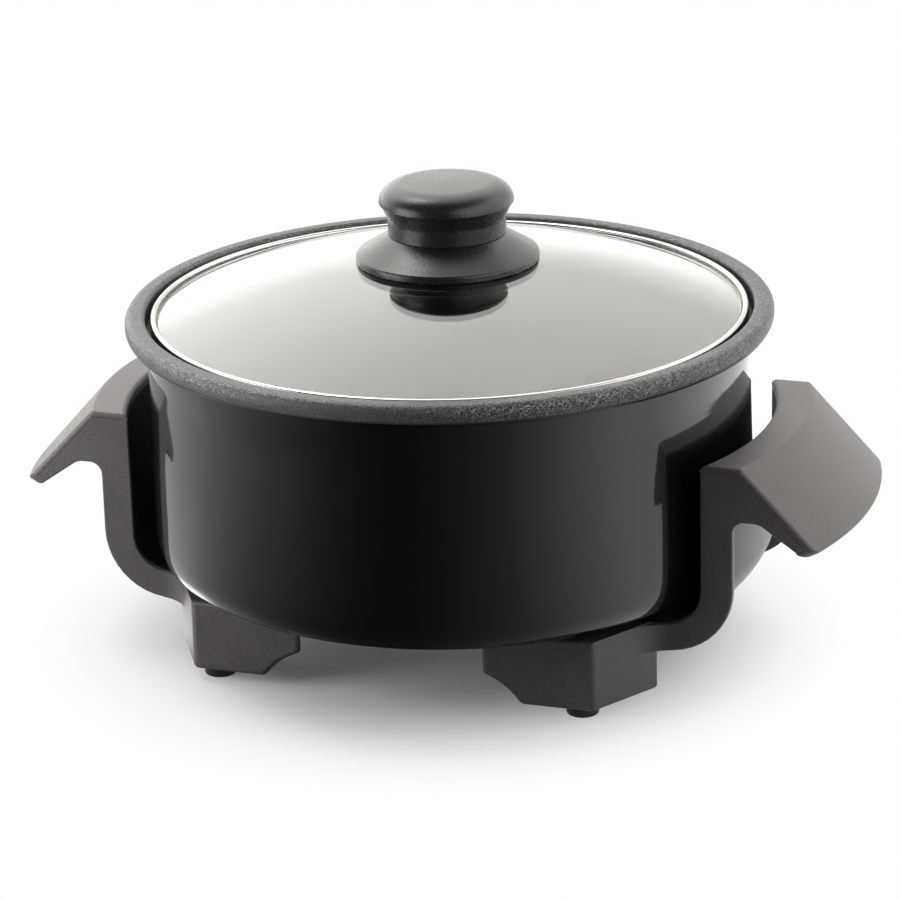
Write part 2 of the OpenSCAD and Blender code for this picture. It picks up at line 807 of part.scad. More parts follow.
module grip_cover() {
    color("#575553") difference() {
        union() {
            handle_width(grip_w) rotate_extrude() polygon([
                [web_r, under_z],
                [under_r, under_z],
                under_tip,
                [tip_r, tip_z],
                [crease_r, grip_z],
                [web_r, grip_z]
            ]);
            translate([0, 0, shelf_z + web_t]) at_grip_screws()
                cylinder(h = grip_boss_h + cover_t / 2, r = grip_boss_r);
        }
        translate([0, 0, shelf_z]) at_grip_screws()
            cylinder(h = web_t + grip_boss_h, r = grip_screw_r + snug);
    }
}

module grip_cover_left() {
    mirror([1, 0, 0]) grip_cover();
}

module grip_cover_right() {
    grip_cover();
}

module grip_screws() {
    length = web_t + grip_boss_h - screw_tip;
    color("silver") for (m = [0, 1]) mirror([m, 0, 0]) at_grip_screws()
        translate([0, 0, shelf_z - grip_head_h])
            slotted_screw(grip_screw_r, length, grip_head_r, grip_head_h);
}

module handle_studs() {
    color("silver") at_handle_studs() translate([0, 0, pan_z - stud_l]) cylinder(h = stud_l, r = stud_r);
}

module handle_spacers() {
    color("tan") at_handle_studs() translate([0, 0, seat_z]) ring(spacer_t, spacer_r, stud_r + bolt_clear);
}

module handle_nuts() {
    color("silver") at_handle_studs() translate([0, 0, seat_z - web_t - nut_h]) nut();
}

// Round foot with a stem that presses into the block's boss
module rubber_foot() {
    color("#1c1c1c") {
        rotate_extrude() polygon(concat(
            [[0, 0]],
            arc([foot_r - foot_round, foot_round], foot_round, -90, 0),
            [[foot_r, foot_h], [stem_r, foot_h], [stem_r, foot_h + stem_h], [0, foot_h + stem_h]]
        ));
    }
}

module foot_front_left() {
    translate([-foot_x, -foot_y, 0]) rubber_foot();
}

module foot_front_right() {
    translate([foot_x, -foot_y, 0]) rubber_foot();
}

module foot_back_left() {
    translate([-foot_x, foot_y, 0]) rubber_foot();
}

module foot_back_right() {
    translate([foot_x, foot_y, 0]) rubber_foot();
}

lid_glass();
lid_band();
knob_grip();
knob_skirt();
knob_insert();
knob_gasket();
knob_seal();
knob_washer();
knob_screw();
pan();
heat_plate();
heating_element();
probe_sleeve();
terminal_pins();
pin_bushes();
bottom_cover();
cover_screw();
socket_guard();
guard_studs();
guard_nuts();
handle_left();
handle_right();
grip_cover_left();
grip_cover_right();
grip_screws();
handle_studs();
handle_spacers();
handle_nuts();
foot_front_left();
foot_front_right();
foot_back_left();
foot_back_right();
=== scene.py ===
import math

import bmesh
import bpy
from mathutils import Matrix, Vector


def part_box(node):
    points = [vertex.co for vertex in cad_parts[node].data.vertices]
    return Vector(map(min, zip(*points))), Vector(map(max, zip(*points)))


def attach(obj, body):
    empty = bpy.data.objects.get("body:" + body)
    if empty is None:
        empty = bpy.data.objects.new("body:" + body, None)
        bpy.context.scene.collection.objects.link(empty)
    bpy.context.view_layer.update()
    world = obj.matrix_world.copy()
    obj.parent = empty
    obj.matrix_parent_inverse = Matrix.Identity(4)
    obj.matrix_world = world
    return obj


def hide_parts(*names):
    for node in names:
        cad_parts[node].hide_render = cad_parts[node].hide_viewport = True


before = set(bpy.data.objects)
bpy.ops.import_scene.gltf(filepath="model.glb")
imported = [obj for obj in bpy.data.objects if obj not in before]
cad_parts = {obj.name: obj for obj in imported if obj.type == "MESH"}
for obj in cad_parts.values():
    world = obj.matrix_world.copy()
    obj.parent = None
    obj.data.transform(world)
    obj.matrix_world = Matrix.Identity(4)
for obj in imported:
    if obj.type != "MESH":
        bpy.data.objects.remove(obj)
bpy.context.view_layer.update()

# Round electric skillet. Metres; the table is z = 0, x runs through the handles and +y is the back.
MM = 0.001
# Distance within which two points are one
WELD = 0.002 * MM
# Turn between two faces past which their shared edge stays crisp
CRISP = math.radians(38)
# How far past its width a part-turned shape is spun, before it is cut
SPARE_TURN = math.radians(2)

# Pan, with its reach and height read from the frame
PAN_LOW, PAN_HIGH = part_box("pan")
PAN_Z = PAN_LOW.z
RIM_Z = PAN_HIGH.z
RIM_R = PAN_HIGH.x
PAN_TOP_R = 104.1 * MM
PAN_WAIST_R = 103.2 * MM
PAN_WAIST_Z = RIM_Z - 23.0 * MM
PAN_BELLY_R = 103.7 * MM
PAN_BELLY_Z = PAN_Z + 28.0 * MM
PAN_LOW_R = 100.6 * MM
PAN_IN_R = 100.2 * MM
PAN_IN_LOW_R = 98.3 * MM
PAN_FOOT_H = 3.4 * MM
PAN_FOOT_SET = 4.6 * MM
PAN_CORNER = 7.0 * MM
PAN_WALL = 2.3 * MM
PAN_FLOOR_Z = PAN_Z + 3.5 * MM
BEAD_IN_R = 103.5 * MM
BEAD_LOW_Z = RIM_Z - 6.3 * MM
BEAD_ROUND = 2.7 * MM
BEAD_IN_ROUND = 1.6 * MM
LEDGE_Z = RIM_Z - 6.5 * MM
LEDGE_T = 2.6 * MM
LEDGE_ROUND = 0.6 * MM
PAN_FOOT_ROUND = 1.2 * MM
PAN_LOW_ROUND = 0.6 * MM
# How sharply the wall turns in at its foot
PAN_CORNER_POWER = 6

# Lid
BAND_LOW, BAND_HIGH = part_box("lid_band")
GLASS_LOW, GLASS_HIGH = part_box("lid_glass")
BAND_T = 0.6 * MM
BAND_LIP_LOW = 4.0 * MM
BAND_ROUND = 1.1 * MM
ROLL_R = 1.05 * MM
ROLL_RISE = 0.95 * MM
GLASS_R = GLASS_HIGH.x
GLASS_T = 3.4 * MM
GLASS_EDGE_Z = GLASS_LOW.z + GLASS_T
GLASS_DOME_R = GLASS_R - 1.3 * MM
GLASS_RISE = 19.4 * MM
GLASS_HOLE_R = 3.5 * MM
GLASS_TOP_ROUND = 2.0 * MM
GLASS_LOW_ROUND = 0.8 * MM
# Air between the glass and the roll of the band
GLASS_PLAY = 0.05 * MM
GLASS_BALL = (GLASS_DOME_R ** 2 + GLASS_RISE ** 2) / (2 * GLASS_RISE)
GLASS_BALL_Z = GLASS_EDGE_Z + GLASS_RISE - GLASS_BALL

# Knob
SKIRT_LOW, SKIRT_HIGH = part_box("knob_skirt")
KNOB_LOW, KNOB_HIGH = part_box("knob_grip")
SKIRT_R = SKIRT_HIGH.x
NECK_R = 20.0 * MM
NECK_Z = KNOB_LOW.z
SKIRT_LIP = 1.5 * MM
SKIRT_RISE = 6.9 * MM
SKIRT_Z = NECK_Z - SKIRT_RISE - SKIRT_LIP
SKIRT_RIM_Z = SKIRT_Z - 0.9 * MM
SKIRT_T = 2.0 * MM
SKIRT_BOSS_R = 10 * MM
SKIRT_HOLE_R = 2.2 * MM
KNOB_R = KNOB_HIGH.x
KNOB_TOP_R = 14.8 * MM
KNOB_CROWN = 0.6 * MM
KNOB_NECK_H = 5.6 * MM
KNOB_UNDERCUT = 4.2 * MM
KNOB_TUCK = 1.0 * MM
KNOB_TUCK_H = 1.2 * MM
KNOB_NECK_ROUND = 0.8 * MM
KNOB_CREASE_ROUND = 0.4 * MM
KNOB_SEAM_ROUND = 0.3 * MM
SKIRT_TOP_ROUND = 0.6 * MM
SKIRT_RIM_ROUND = 0.4 * MM
KNOB_FLAT_Z = KNOB_HIGH.z - KNOB_CROWN
KNOB_CREASE_Z = NECK_Z + KNOB_NECK_H + KNOB_UNDERCUT
KNOB_WIDE_Z = KNOB_CREASE_Z + KNOB_TUCK_H

# Handles: sizes of the right one, which the left one mirrors
COVER_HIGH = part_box("grip_cover_right")[1]
GRIP_HALF = COVER_HIGH.y
GRIP_Z = COVER_HIGH.z
WEB_R = 111.2 * MM
WEB_T = 2.2 * MM
WEB_LOW_R = 106.5 * MM
PLATE_T = 2.4 * MM
COVER_T = 2.0 * MM
SEAM = 0.1 * MM
LIP_H = 1.2 * MM
LIP_T = 1.8 * MM
CREASE_R = WEB_R + 12.2 * MM
PANEL = Vector((24.3, -27.0)) * MM
PANEL_OUT = Vector((-PANEL.y, PANEL.x)).normalized()
TIP = Vector((CREASE_R, GRIP_Z)) + PANEL
UNDER_TIP = TIP - COVER_T * PANEL_OUT
NOSE_L = 4.2 * MM
NOSE_ROOT = UNDER_TIP - NOSE_L * PANEL.normalized()
UNDER_Z = GRIP_Z - COVER_T
UNDER_R = UNDER_TIP.x - PANEL.x / PANEL.y * (UNDER_TIP.y - UNDER_Z)
ARM_DEPTH = 10.1 * MM
ARCH_Z = GRIP_Z - 18.7 * MM
ARCH_W = 8.8 * MM
ARCH_ROUND = 4.2 * MM
NOSE_RUN = 4.2 * MM
NOSE_DROP = 2.2 * MM
NOSE_X = math.sqrt(TIP.x ** 2 - GRIP_HALF ** 2) - NOSE_RUN
NOSE = Vector((math.hypot(NOSE_X, GRIP_HALF), TIP.y - NOSE_DROP))
NOSE_BACK = Vector((-2.45, 1.8)) * MM
NOSE_ROUND = 1.6 * MM
BEND_IN = 12.5 * MM
BEND_OUT = 23.0 * MM
SEAM_ROUND = 0.25 * MM
TIP_ROUND = 3.0 * MM
EDGE_ROUND = 1.2 * MM
CREASE_ROUND = 1.6 * MM
TIP_EDGE_ROUND = 1.0 * MM
PLATE_ROUND = 0.7 * MM
TAIL_ROOT_ROUND = 6.0 * MM
ARM_FILLET = 12.0 * MM
# How deep the fillet sinks into the block and the plate, and how far it stops short of the arm's edges
FILLET_SUNK = 0.8 * MM
FILLET_ROOT = 1.0 * MM
FILLET_TOP_GAP = 0.5 * MM
FILLET_LOW_GAP = 0.2 * MM
SHELF_DROP = 5.0 * MM
TAIL_LIP_L = 4.0 * MM
TAIL_LIP_T = 1.8 * MM
FOOT_H = 4.7 * MM
SEAT_Z = FOOT_H + 23.9 * MM
ARM_LOW_Z = SEAT_Z - 7.5 * MM
ARM_END_Z = SEAT_Z - 10.8 * MM
TRAY_R = 71.0 * MM

# Foot blocks and rubber feet
BLOCK_FRONT = 69.4 * MM
BLOCK_IN_X = 32.4 * MM
BLOCK_CORNER_X = 70.8 * MM
BLOCK_SIDE_X = 84.0 * MM
ARM_END_X = BLOCK_SIDE_X - 2 * PLATE_T
BLOCK_ROUND = 1.6 * MM
BLOCK_LOW_Z = FOOT_H - 0.9 * MM
BLOCK_WALL = 1.0 * MM
TOE_TOP_ROUND = 2.0 * MM
TOE_LOW_ROUND = 2.4 * MM
TOE_RUN = 13.2 * MM
TOE_RISE = 8.8 * MM
TOE_R = 26.0 * MM
FOOT_X = BLOCK_CORNER_X - 6.1 * MM
FOOT_Y = BLOCK_FRONT - 8.4 * MM
FOOT_R = 5.5 * MM
FOOT_STEM_R = 3.0 * MM
FOOT_STEM_H = 8.0 * MM
FOOT_TREAD_ROUND = 0.8 * MM
FOOT_TOP_ROUND = 0.3 * MM

# Socket at the back
SOCKET_HALF = 23.0 * MM
SOCKET_WALL = 2.0 * MM
SOCKET_ROUND = 1.0 * MM
EAR_T = 1.6 * MM
EAR_HALF = 5.0 * MM
EAR_ROUND = 3.0 * MM

# Camera, as turned, tilted and rolled about a point near the middle of the pan
VIEW_AZIMUTH = math.radians(19.53)
VIEW_ELEVATION = math.radians(19.56)
VIEW_ROLL = math.radians(1.59)
VIEW_DISTANCE = 1.36779
VIEW_AIM_RIGHT = -1.09 * MM
VIEW_AIM_Z = 65.4 * MM
VIEW_LENS = 158.62
SENSOR = 36.0

# Soft lamp on the left, the table top and its shadow; in reflections alone, a painted shadow on the table
# under the pan and a painted highlight glow by the left foot block
LAMP_PLACE = (-0.42, -0.30, 0.16)
LAMP_AIM = (-0.10, -0.04, 0.05)
LAMP_SIDE = 0.35
LAMP_WATTS = 2.2
TABLE_R = 1.6
SHADOW_LEFT = 0.01
SHADOW_IN_R = 0.06
SHADOW_OUT_R = 0.15
PAINTED_SHADOW_IN_R = 0.06
PAINTED_SHADOW_OUT_R = 0.11
HIGHLIGHT_GLOW_IN_R = 0.112
HIGHLIGHT_GLOW_OUT_R = 0.128
HIGHLIGHT_GLOW_LEVEL = 2.4


# Shaping

def near(a, b):
    """Whether two lengths are the same to a hundredth of a millimetre."""
    return abs(a - b) < 0.01 * MM


def arc(centre, radius, start, end, steps):
    """Points of an arc about a centre, from one angle in degrees to another."""
    angles = [math.radians(start + (end - start) * i / steps) for i in range(steps + 1)]
    return [(centre[0] + radius * math.cos(a), centre[1] + radius * math.sin(a)) for a in angles]


def tidy(bm):
    """Closes the poles and seams of a shape and turns its faces outwards."""
    bmesh.ops.remove_doubles(bm, verts=bm.verts, dist=WELD)
    bmesh.ops.recalc_face_normals(bm, faces=bm.faces)
    return bm


def turned(points, closed=False, steps=144):
    """Spins a profile of radius and height points once about the pan's axis."""
    bm = bmesh.new()
    verts = [bm.verts.new((r, 0, z)) for r, z in points]
    edges = [bm.edges.new(pair) for pair in zip(verts, verts[1:])]
    if closed:
        edges.append(bm.edges.new((verts[-1], verts[0])))
    bmesh.ops.spin(
        bm, geom=verts + edges, axis=(0, 0, 1), cent=(0, 0, 0), angle=math.tau, steps=steps, use_merge=True)
    return tidy(bm)


def part_turned(points, half_width, steps=48):
    """Spins a closed profile far enough about the pan's axis to span a width."""
    half_angle = math.asin(half_width / min(r for r, z in points)) + SPARE_TURN
    bm = bmesh.new()
    verts = [bm.verts.new((r * math.cos(half_angle), -r * math.sin(half_angle), z)) for r, z in points]
    edges = [bm.edges.new((verts[i - 1], verts[i])) for i in range(len(verts))]
    bmesh.ops.spin(
        bm, geom=verts + edges, axis=(0, 0, 1), cent=(0, 0, 0), angle=2 * half_angle, steps=steps)
    return bm


def trim_width(bm, half_width):
    """Cuts a part-turned shape to a width and caps both ends."""
    for side in (-1, 1):
        bmesh.ops.bisect_plane(
            bm, geom=bm.verts[:] + bm.edges[:] + bm.faces[:], dist=WELD,
            plane_co=(0, side * half_width, 0), plane_no=(0, side, 0), clear_outer=True)
    bmesh.ops.holes_fill(bm, edges=[e for e in bm.edges if e.is_boundary])
    return tidy(bm)


def rounded(corners, segments):
    """Outline with each corner rounded to its own radius, as the same number of points every time."""
    points = []
    for i, (corner, radius) in enumerate(corners):
        if not radius:
            points.append(Vector(corner))
            continue
        corner = Vector(corner)
        before = (Vector(corners[i - 1][0]) - corner).normalized()
        after = (Vector(corners[(i + 1) % len(corners)][0]) - corner).normalized()
        half = before.angle(after) / 2
        centre = corner + (before + after).normalized() * (radius / math.sin(half))
        start = corner + before * (radius / math.tan(half)) - centre
        end = corner + after * (radius / math.tan(half)) - centre
        points += [centre + radius * start.slerp(end, step / segments) for step in range(segments + 1)]
    return points


def lofted(sections):
    """Skin over equal sections of radius and height points, each set at its own y, with flat ends."""
    bm = bmesh.new()
    rings = [[bm.verts.new((math.sqrt(r * r - y * y), y, z)) for r, z in points] for y, points in sections]
    for one, two in zip(rings, rings[1:]):
        for i in range(len(one)):
            bm.faces.new((one[i - 1], one[i], two[i], two[i - 1]))
    bm.faces.new(rings[0])
    bm.faces.new(rings[-1])
    bmesh.ops.recalc_face_normals(bm, faces=bm.faces)
    return bm


def roll_off(depth, radius):
    """How far a rounded edge falls away at a depth in from it."""
    inside = max(radius - depth, 0)
    return radius - math.sqrt(radius * radius - inside * inside)


def slab(outline, start, end):
    """Extrudes an outline of x and z points along y."""
    bm = bmesh.new()
    face = bm.faces.new([bm.verts.new((x, start, z)) for x, z in outline])
    grown = bmesh.ops.extrude_face_region(bm, geom=[face])["geom"]
    moved = [g for g in grown if isinstance(g, bmesh.types.BMVert)]
    bmesh.ops.translate(bm, vec=(0, end - start, 0), verts=moved)
    bmesh.ops.recalc_face_normals(bm, faces=bm.faces)
    return bm


def round_edges(bm, pick, size, segments=3):
    """Rounds the edges that pass a test."""
    bmesh.ops.bevel(
        bm, geom=[e for e in bm.edges if pick(e)], offset=size, offset_type="OFFSET", affect="EDGES",
        segments=segments, profile=0.5, material=-1, clamp_overlap=False)


def round_ring(bm, r, z, size, segments=3):
    """Rounds the ring of edges at a radius and a height."""
    def on_ring(edge):
        return all(near(v.co.xy.length, r) and near(v.co.z, z) for v in edge.verts)
    round_edges(bm, on_ring, size, segments)


def joined(*parts):
    """One shape that holds several."""
    whole = bmesh.new()
    for part in parts:
        mesh = bpy.data.meshes.new("part")
        part.to_mesh(mesh)
        part.free()
        whole.from_mesh(mesh)
        bpy.data.meshes.remove(mesh)
    return whole


def both_sides(bm, axis):
    """Adds the mirror image of a shape across the plane of an axis."""
    bmesh.ops.mirror(bm, geom=bm.verts[:] + bm.edges[:] + bm.faces[:], merge_dist=-1, axis=axis)
    bmesh.ops.recalc_face_normals(bm, faces=bm.faces)
    return bm


def flipped(bm):
    """Turns a right-hand shape into a left-hand one."""
    bmesh.ops.scale(bm, vec=(-1, 1, 1), verts=bm.verts)
    bmesh.ops.recalc_face_normals(bm, faces=bm.faces)
    return bm


def piece(bm, name, body, materials, nodes):
    """Makes an object of a shape, with smooth faces and crisp edges, that stands for CAD nodes."""
    for face in bm.faces:
        face.smooth = True
    for edge in bm.edges:
        edge.smooth = len(edge.link_faces) == 2 and edge.calc_face_angle(0) < CRISP
    mesh = bpy.data.meshes.new(name)
    bm.to_mesh(mesh)
    bm.free()
    for material in materials:
        mesh.materials.append(material)
    obj = bpy.data.objects.new(name, mesh)
    bpy.context.collection.objects.link(obj)
    flat = obj.modifiers.new("even shading", "WEIGHTED_NORMAL")
    flat.keep_sharp = True
    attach(obj, body)
    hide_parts(*nodes)
    return obj


# Finishes

def colour(code):
    """Linear colour of an sRGB hex value."""
    parts = [int(code[i:i + 2], 16) / 255 for i in (1, 3, 5)]
    return (*[c / 12.92 if c <= 0.04045 else ((c + 0.055) / 1.055) ** 2.4 for c in parts], 1.0)


def add(tree, kind, inputs=None, **settings):
    """Adds a node with its settings; an input takes a value or the output of another node.

    Numbered inputs of a map range are the value, the range that it comes from and the range that it goes to.
    Those of a mix are the share, then 2 and 3 for numbers or 6 and 7 for colours."""
    node = tree.nodes.new(kind)
    for name, value in settings.items():
        setattr(node, name, value)
    for name, value in (inputs or {}).items():
        if isinstance(value, bpy.types.NodeSocket):
            tree.links.new(value, node.inputs[name])
        else:
            node.inputs[name].default_value = value
    return node


def new_material(name):
    """Empty material with its tree and the place of a point on the object."""
    material = bpy.data.materials.new(name)
    material.use_nodes = True
    tree = material.node_tree
    tree.nodes.clear()
    place = add(tree, "ShaderNodeTexCoord").outputs["Object"]
    return material, tree, place


def close_material(tree, shader):
    """Sends a shader to the surface of its material."""
    add(tree, "ShaderNodeOutputMaterial", {"Surface": shader.outputs[0]})


def grained_skin(name, dark, light, grain, depth, rough, level):
    """Moulded or pressed matter, such as phenolic, rubber or ceramic: fine grain in shade, gloss and relief,
    with a faint cloudy change over it."""
    material, tree, place = new_material(name)
    fine = add(tree, "ShaderNodeTexNoise", {
        "Vector": place, "Scale": 1 / grain, "Detail": 3, "Roughness": 0.65})
    cloud = add(tree, "ShaderNodeTexNoise", {"Vector": place, "Scale": 1 / (30 * MM), "Detail": 2})
    shade = add(tree, "ShaderNodeMix", {0: 0.35, 2: fine.outputs[0], 3: cloud.outputs[0]})
    spread = add(tree, "ShaderNodeMapRange", {0: shade.outputs[0], 1: 0.3, 2: 0.7})
    tint = add(
        tree, "ShaderNodeMix", {0: spread.outputs[0], 6: colour(dark), 7: colour(light)}, data_type="RGBA")
    sheen = add(tree, "ShaderNodeMapRange", {
        0: fine.outputs[0], 1: 0.3, 2: 0.7, 3: rough - 0.05, 4: rough + 0.06})
    bump = add(tree, "ShaderNodeBump", {"Strength": 0.6, "Distance": depth, "Height": fine.outputs[0]})
    close_material(tree, add(tree, "ShaderNodeBsdfPrincipled", {
        "Base Color": tint.outputs[2], "Roughness": sheen.outputs[0], "Normal": bump.outputs[0],
        "Specular IOR Level": level}))
    return material


def gloss_enamel():
    """Baked gloss enamel: a hazy black base under a clear coat, rippled by orange peel and spinning marks."""
    material, tree, place = new_material("baked_gloss_enamel")
    peel = add(tree, "ShaderNodeTexNoise", {"Vector": place, "Scale": 1 / (7 * MM), "Detail": 1})
    tint = add(tree, "ShaderNodeMix", {
        0: peel.outputs[0], 6: colour("#050506"), 7: colour("#080809")}, data_type="RGBA")
    spun = add(tree, "ShaderNodeMapping", {"Vector": place, "Scale": (1, 1, 12)})
    rings = add(tree, "ShaderNodeTexNoise", {"Vector": spun.outputs[0], "Scale": 1 / (9 * MM), "Detail": 1})
    ripple = add(tree, "ShaderNodeMix", {0: 0.35, 2: peel.outputs[0], 3: rings.outputs[0]})
    bump = add(tree, "ShaderNodeBump", {"Strength": 0.35, "Distance": 0.04 * MM, "Height": ripple.outputs[0]})
    close_material(tree, add(tree, "ShaderNodeBsdfPrincipled", {
        "Base Color": tint.outputs[2], "Roughness": 0.4, "Specular IOR Level": 0.07,
        "Normal": bump.outputs[0], "Coat Weight": 1.0, "Coat Roughness": 0.055, "Coat IOR": 1.5,
        "Coat Normal": bump.outputs[0]}))
    return material


def sprayed_nonstick(name, dark, light, rough, tilt, shine):
    """Sprayed nonstick with mineral flakes: grey, dull, each flake a bright fleck.

    Real flakes are a few hundredths of a millimetre; they are drawn at a third of one so that they show."""
    material, tree, place = new_material(name)
    flakes = add(tree, "ShaderNodeTexVoronoi", {"Vector": place, "Scale": 1 / (0.33 * MM)})
    mist = add(tree, "ShaderNodeTexNoise", {"Vector": place, "Scale": 1 / (6 * MM), "Detail": 2})
    fleck = add(tree, "ShaderNodeSeparateColor", {0: flakes.outputs["Color"]})
    bright = add(tree, "ShaderNodeMapRange", {0: fleck.outputs[0], 1: 0.25, 2: 1.0})
    patch = add(tree, "ShaderNodeMapRange", {0: mist.outputs[0], 1: 0.3, 2: 0.7, 3: 0.7, 4: 1.0})
    amount = add(tree, "ShaderNodeMath", {0: bright.outputs[0], 1: patch.outputs[0]}, operation="MULTIPLY")
    tint = add(tree, "ShaderNodeMix", {
        0: amount.outputs[0], 6: colour(dark), 7: colour(light)}, data_type="RGBA")
    metallic = add(tree, "ShaderNodeMapRange", {0: fleck.outputs[0], 1: 0.5, 2: 0.7, 3: 0.0, 4: shine})
    # Each flake lies at its own slant, so that it glints by itself
    facing = add(tree, "ShaderNodeNewGeometry").outputs["Normal"]
    slant = add(tree, "ShaderNodeVectorMath", {
        0: flakes.outputs["Color"], 1: (0.5, 0.5, 0.5)}, operation="SUBTRACT")
    leaning = add(tree, "ShaderNodeVectorMath", {
        0: slant.outputs[0], 1: (tilt, tilt, tilt), 2: facing}, operation="MULTIPLY_ADD")
    normal = add(tree, "ShaderNodeVectorMath", {0: leaning.outputs[0]}, operation="NORMALIZE")
    close_material(tree, add(tree, "ShaderNodeBsdfPrincipled", {
        "Base Color": tint.outputs[2], "Roughness": rough, "Metallic": metallic.outputs[0],
        "Normal": normal.outputs[0], "Specular IOR Level": 0.25}))
    return material


def float_glass():
    """Tempered soda-lime glass: clear, polished, a trace of grey."""
    material, tree, place = new_material("tempered_soda_lime_glass")
    smear = add(tree, "ShaderNodeTexNoise", {"Vector": place, "Scale": 1 / (40 * MM), "Detail": 2})
    haze = add(tree, "ShaderNodeMapRange", {0: smear.outputs[0], 1: 0.3, 2: 0.7, 3: 0.0, 4: 0.008})
    close_material(tree, add(tree, "ShaderNodeBsdfPrincipled", {
        "Base Color": colour("#eef0ee"), "Roughness": haze.outputs[0], "IOR": 1.52,
        "Transmission Weight": 1.0}))
    return material


def metal(name, dark, light, grain, rough, stretch=(1, 1, 1), metallic=1.0):
    """Bare or plated metal: fine grain in shade and gloss, drawn out along one way where it was turned."""
    material, tree, place = new_material(name)
    drawn = add(tree, "ShaderNodeMapping", {"Vector": place, "Scale": stretch})
    fine = add(tree, "ShaderNodeTexNoise", {
        "Vector": drawn.outputs[0], "Scale": 1 / grain, "Detail": 4, "Roughness": 0.6})
    tint = add(tree, "ShaderNodeMix", {
        0: fine.outputs[0], 6: colour(dark), 7: colour(light)}, data_type="RGBA")
    gloss = add(tree, "ShaderNodeMapRange", {
        0: fine.outputs[0], 1: 0.3, 2: 0.7, 3: rough - 0.05, 4: rough + 0.08})
    bump = add(tree, "ShaderNodeBump", {"Strength": 0.2, "Distance": 0.01 * MM, "Height": fine.outputs[0]})
    close_material(tree, add(tree, "ShaderNodeBsdfPrincipled", {
        "Base Color": tint.outputs[2], "Metallic": metallic, "Roughness": gloss.outputs[0],
        "Normal": bump.outputs[0]}))
    return material


# Grain of moulds and metals is a tenth of a millimetre or less; it is drawn as coarse as it needs to show

ENAMEL = gloss_enamel()
# Sprayed over the bead it glints; inside the pan it is a plainer, darker grey whose flakes lie flat and do
# not glint
NONSTICK = sprayed_nonstick("sprayed_flake_nonstick", "#3a3a3c", "#7c7c7f", 0.45, 0.42, 0.55)
NONSTICK_INSIDE = sprayed_nonstick("plain_dark_flake_nonstick", "#2b2b2d", "#303032", 0.5, 0.02, 0.0)
GLASS = float_glass()
# Rolled sheet mirrors softly and evenly
STAINLESS = metal("rolled_stainless_steel", "#9b9b98", "#b4b4b1", 2 * MM, 0.2)
# Zinc plating has a pale, slightly cloudy shine
PLATED = metal("bright_zinc_plated_steel", "#9c9d9a", "#c4c4c0", 1.5 * MM, 0.28)
# Turned brass is warm yellow with fine rings
BRASS = metal("turned_brass", "#a8843c", "#c9a65a", 1.0 * MM, 0.25, stretch=(1, 1, 6))
# Cast skin is pale and dull, like fine sand
CAST = metal("as_cast_aluminium", "#8d8e8f", "#b4b5b6", 1.2 * MM, 0.48)
# A sheath that has glowed is dark olive with hardly any shine
SHEATH = metal("oxidised_heater_sheath", "#2c2e28", "#4d4f44", 1.8 * MM, 0.5, metallic=0.8)
# Pressed sheet that has been hot is smooth, dark and half dull
PRESSED = metal("heat_darkened_pressed_steel", "#3b3b3c", "#565656", 6 * MM, 0.36, metallic=0.9)
# Unglazed ceramic is off-white and chalky
CERAMIC = grained_skin("unglazed_steatite", "#cfcbc0", "#e2dfd6", 0.5 * MM, 0.02 * MM, 0.7, 0.4)
# Board pressed from mica flakes is tan and mottled
MICA = grained_skin("stamped_mica_board", "#8a7758", "#b09a76", 1.5 * MM, 0.03 * MM, 0.5, 0.5)
# Soft washers are smooth: milky where the silicone is clear, half dull where it is black
SILICONE = grained_skin("moulded_clear_silicone", "#b9b9b4", "#cfcfca", 2 * MM, 0.01 * MM, 0.4, 0.4)
GASKET = grained_skin("moulded_black_silicone", "#0e0e0f", "#161617", 1 * MM, 0.01 * MM, 0.5, 0.4)
# A satin mould gives black with soft, wide highlights
KNOB_PLASTIC = grained_skin(
    "moulded_satin_phenolic", "#1b1a1a", "#272625", 0.7 * MM, 0.12 * MM, 0.27, 0.36)
# A spark-eroded mould gives matt grey-brown, on which light spreads evenly
HANDLE_PLASTIC = grained_skin(
    "moulded_matt_phenolic", "#3d3b3a", "#5a5655", 0.8 * MM, 0.18 * MM, 0.45, 0.5)
# A darker, rougher copy of the same plastic with no shine: painted shade for the web's faces in the gap by
# the pan
HANDLE_PAINTED_SHADE = grained_skin(
    "phenolic_darkened_for_painted_shade", "#242322", "#2d2b2a", 1.0 * MM, 0.05 * MM, 0.75, 0.2)
# Pressed rubber is black with a slight shine
FOOT_RUBBER = grained_skin("moulded_black_rubber", "#0b0b0c", "#141415", 1.2 * MM, 0.02 * MM, 0.3, 0.5)


# Pan

def swell(start, end, steps=8):
    """Points that ease from one radius and height to another, without the first."""
    parts = [i / steps for i in range(1, steps + 1)]
    return [
        (start[0] + (end[0] - start[0]) * (1 - math.cos(math.pi * t)) / 2, start[1] + (end[1] - start[1]) * t)
        for t in parts]


def pan_wall():
    """Outer wall from the foot up: a rounded corner, a slight belly, a waist and a flare under the bead."""
    foot_z = PAN_Z + PAN_FOOT_H
    out = PAN_BELLY_R - PAN_LOW_R
    corner = [
        (PAN_BELLY_R - out * (1 - t) ** PAN_CORNER_POWER, foot_z + (PAN_BELLY_Z - foot_z) * t)
        for t in [i / 16 for i in range(17)]]
    belly = corner[-1]
    waist = (PAN_WAIST_R, PAN_WAIST_Z)
    return [*corner, *swell(belly, waist), *swell(waist, (PAN_TOP_R, LEDGE_Z - LEDGE_T))]


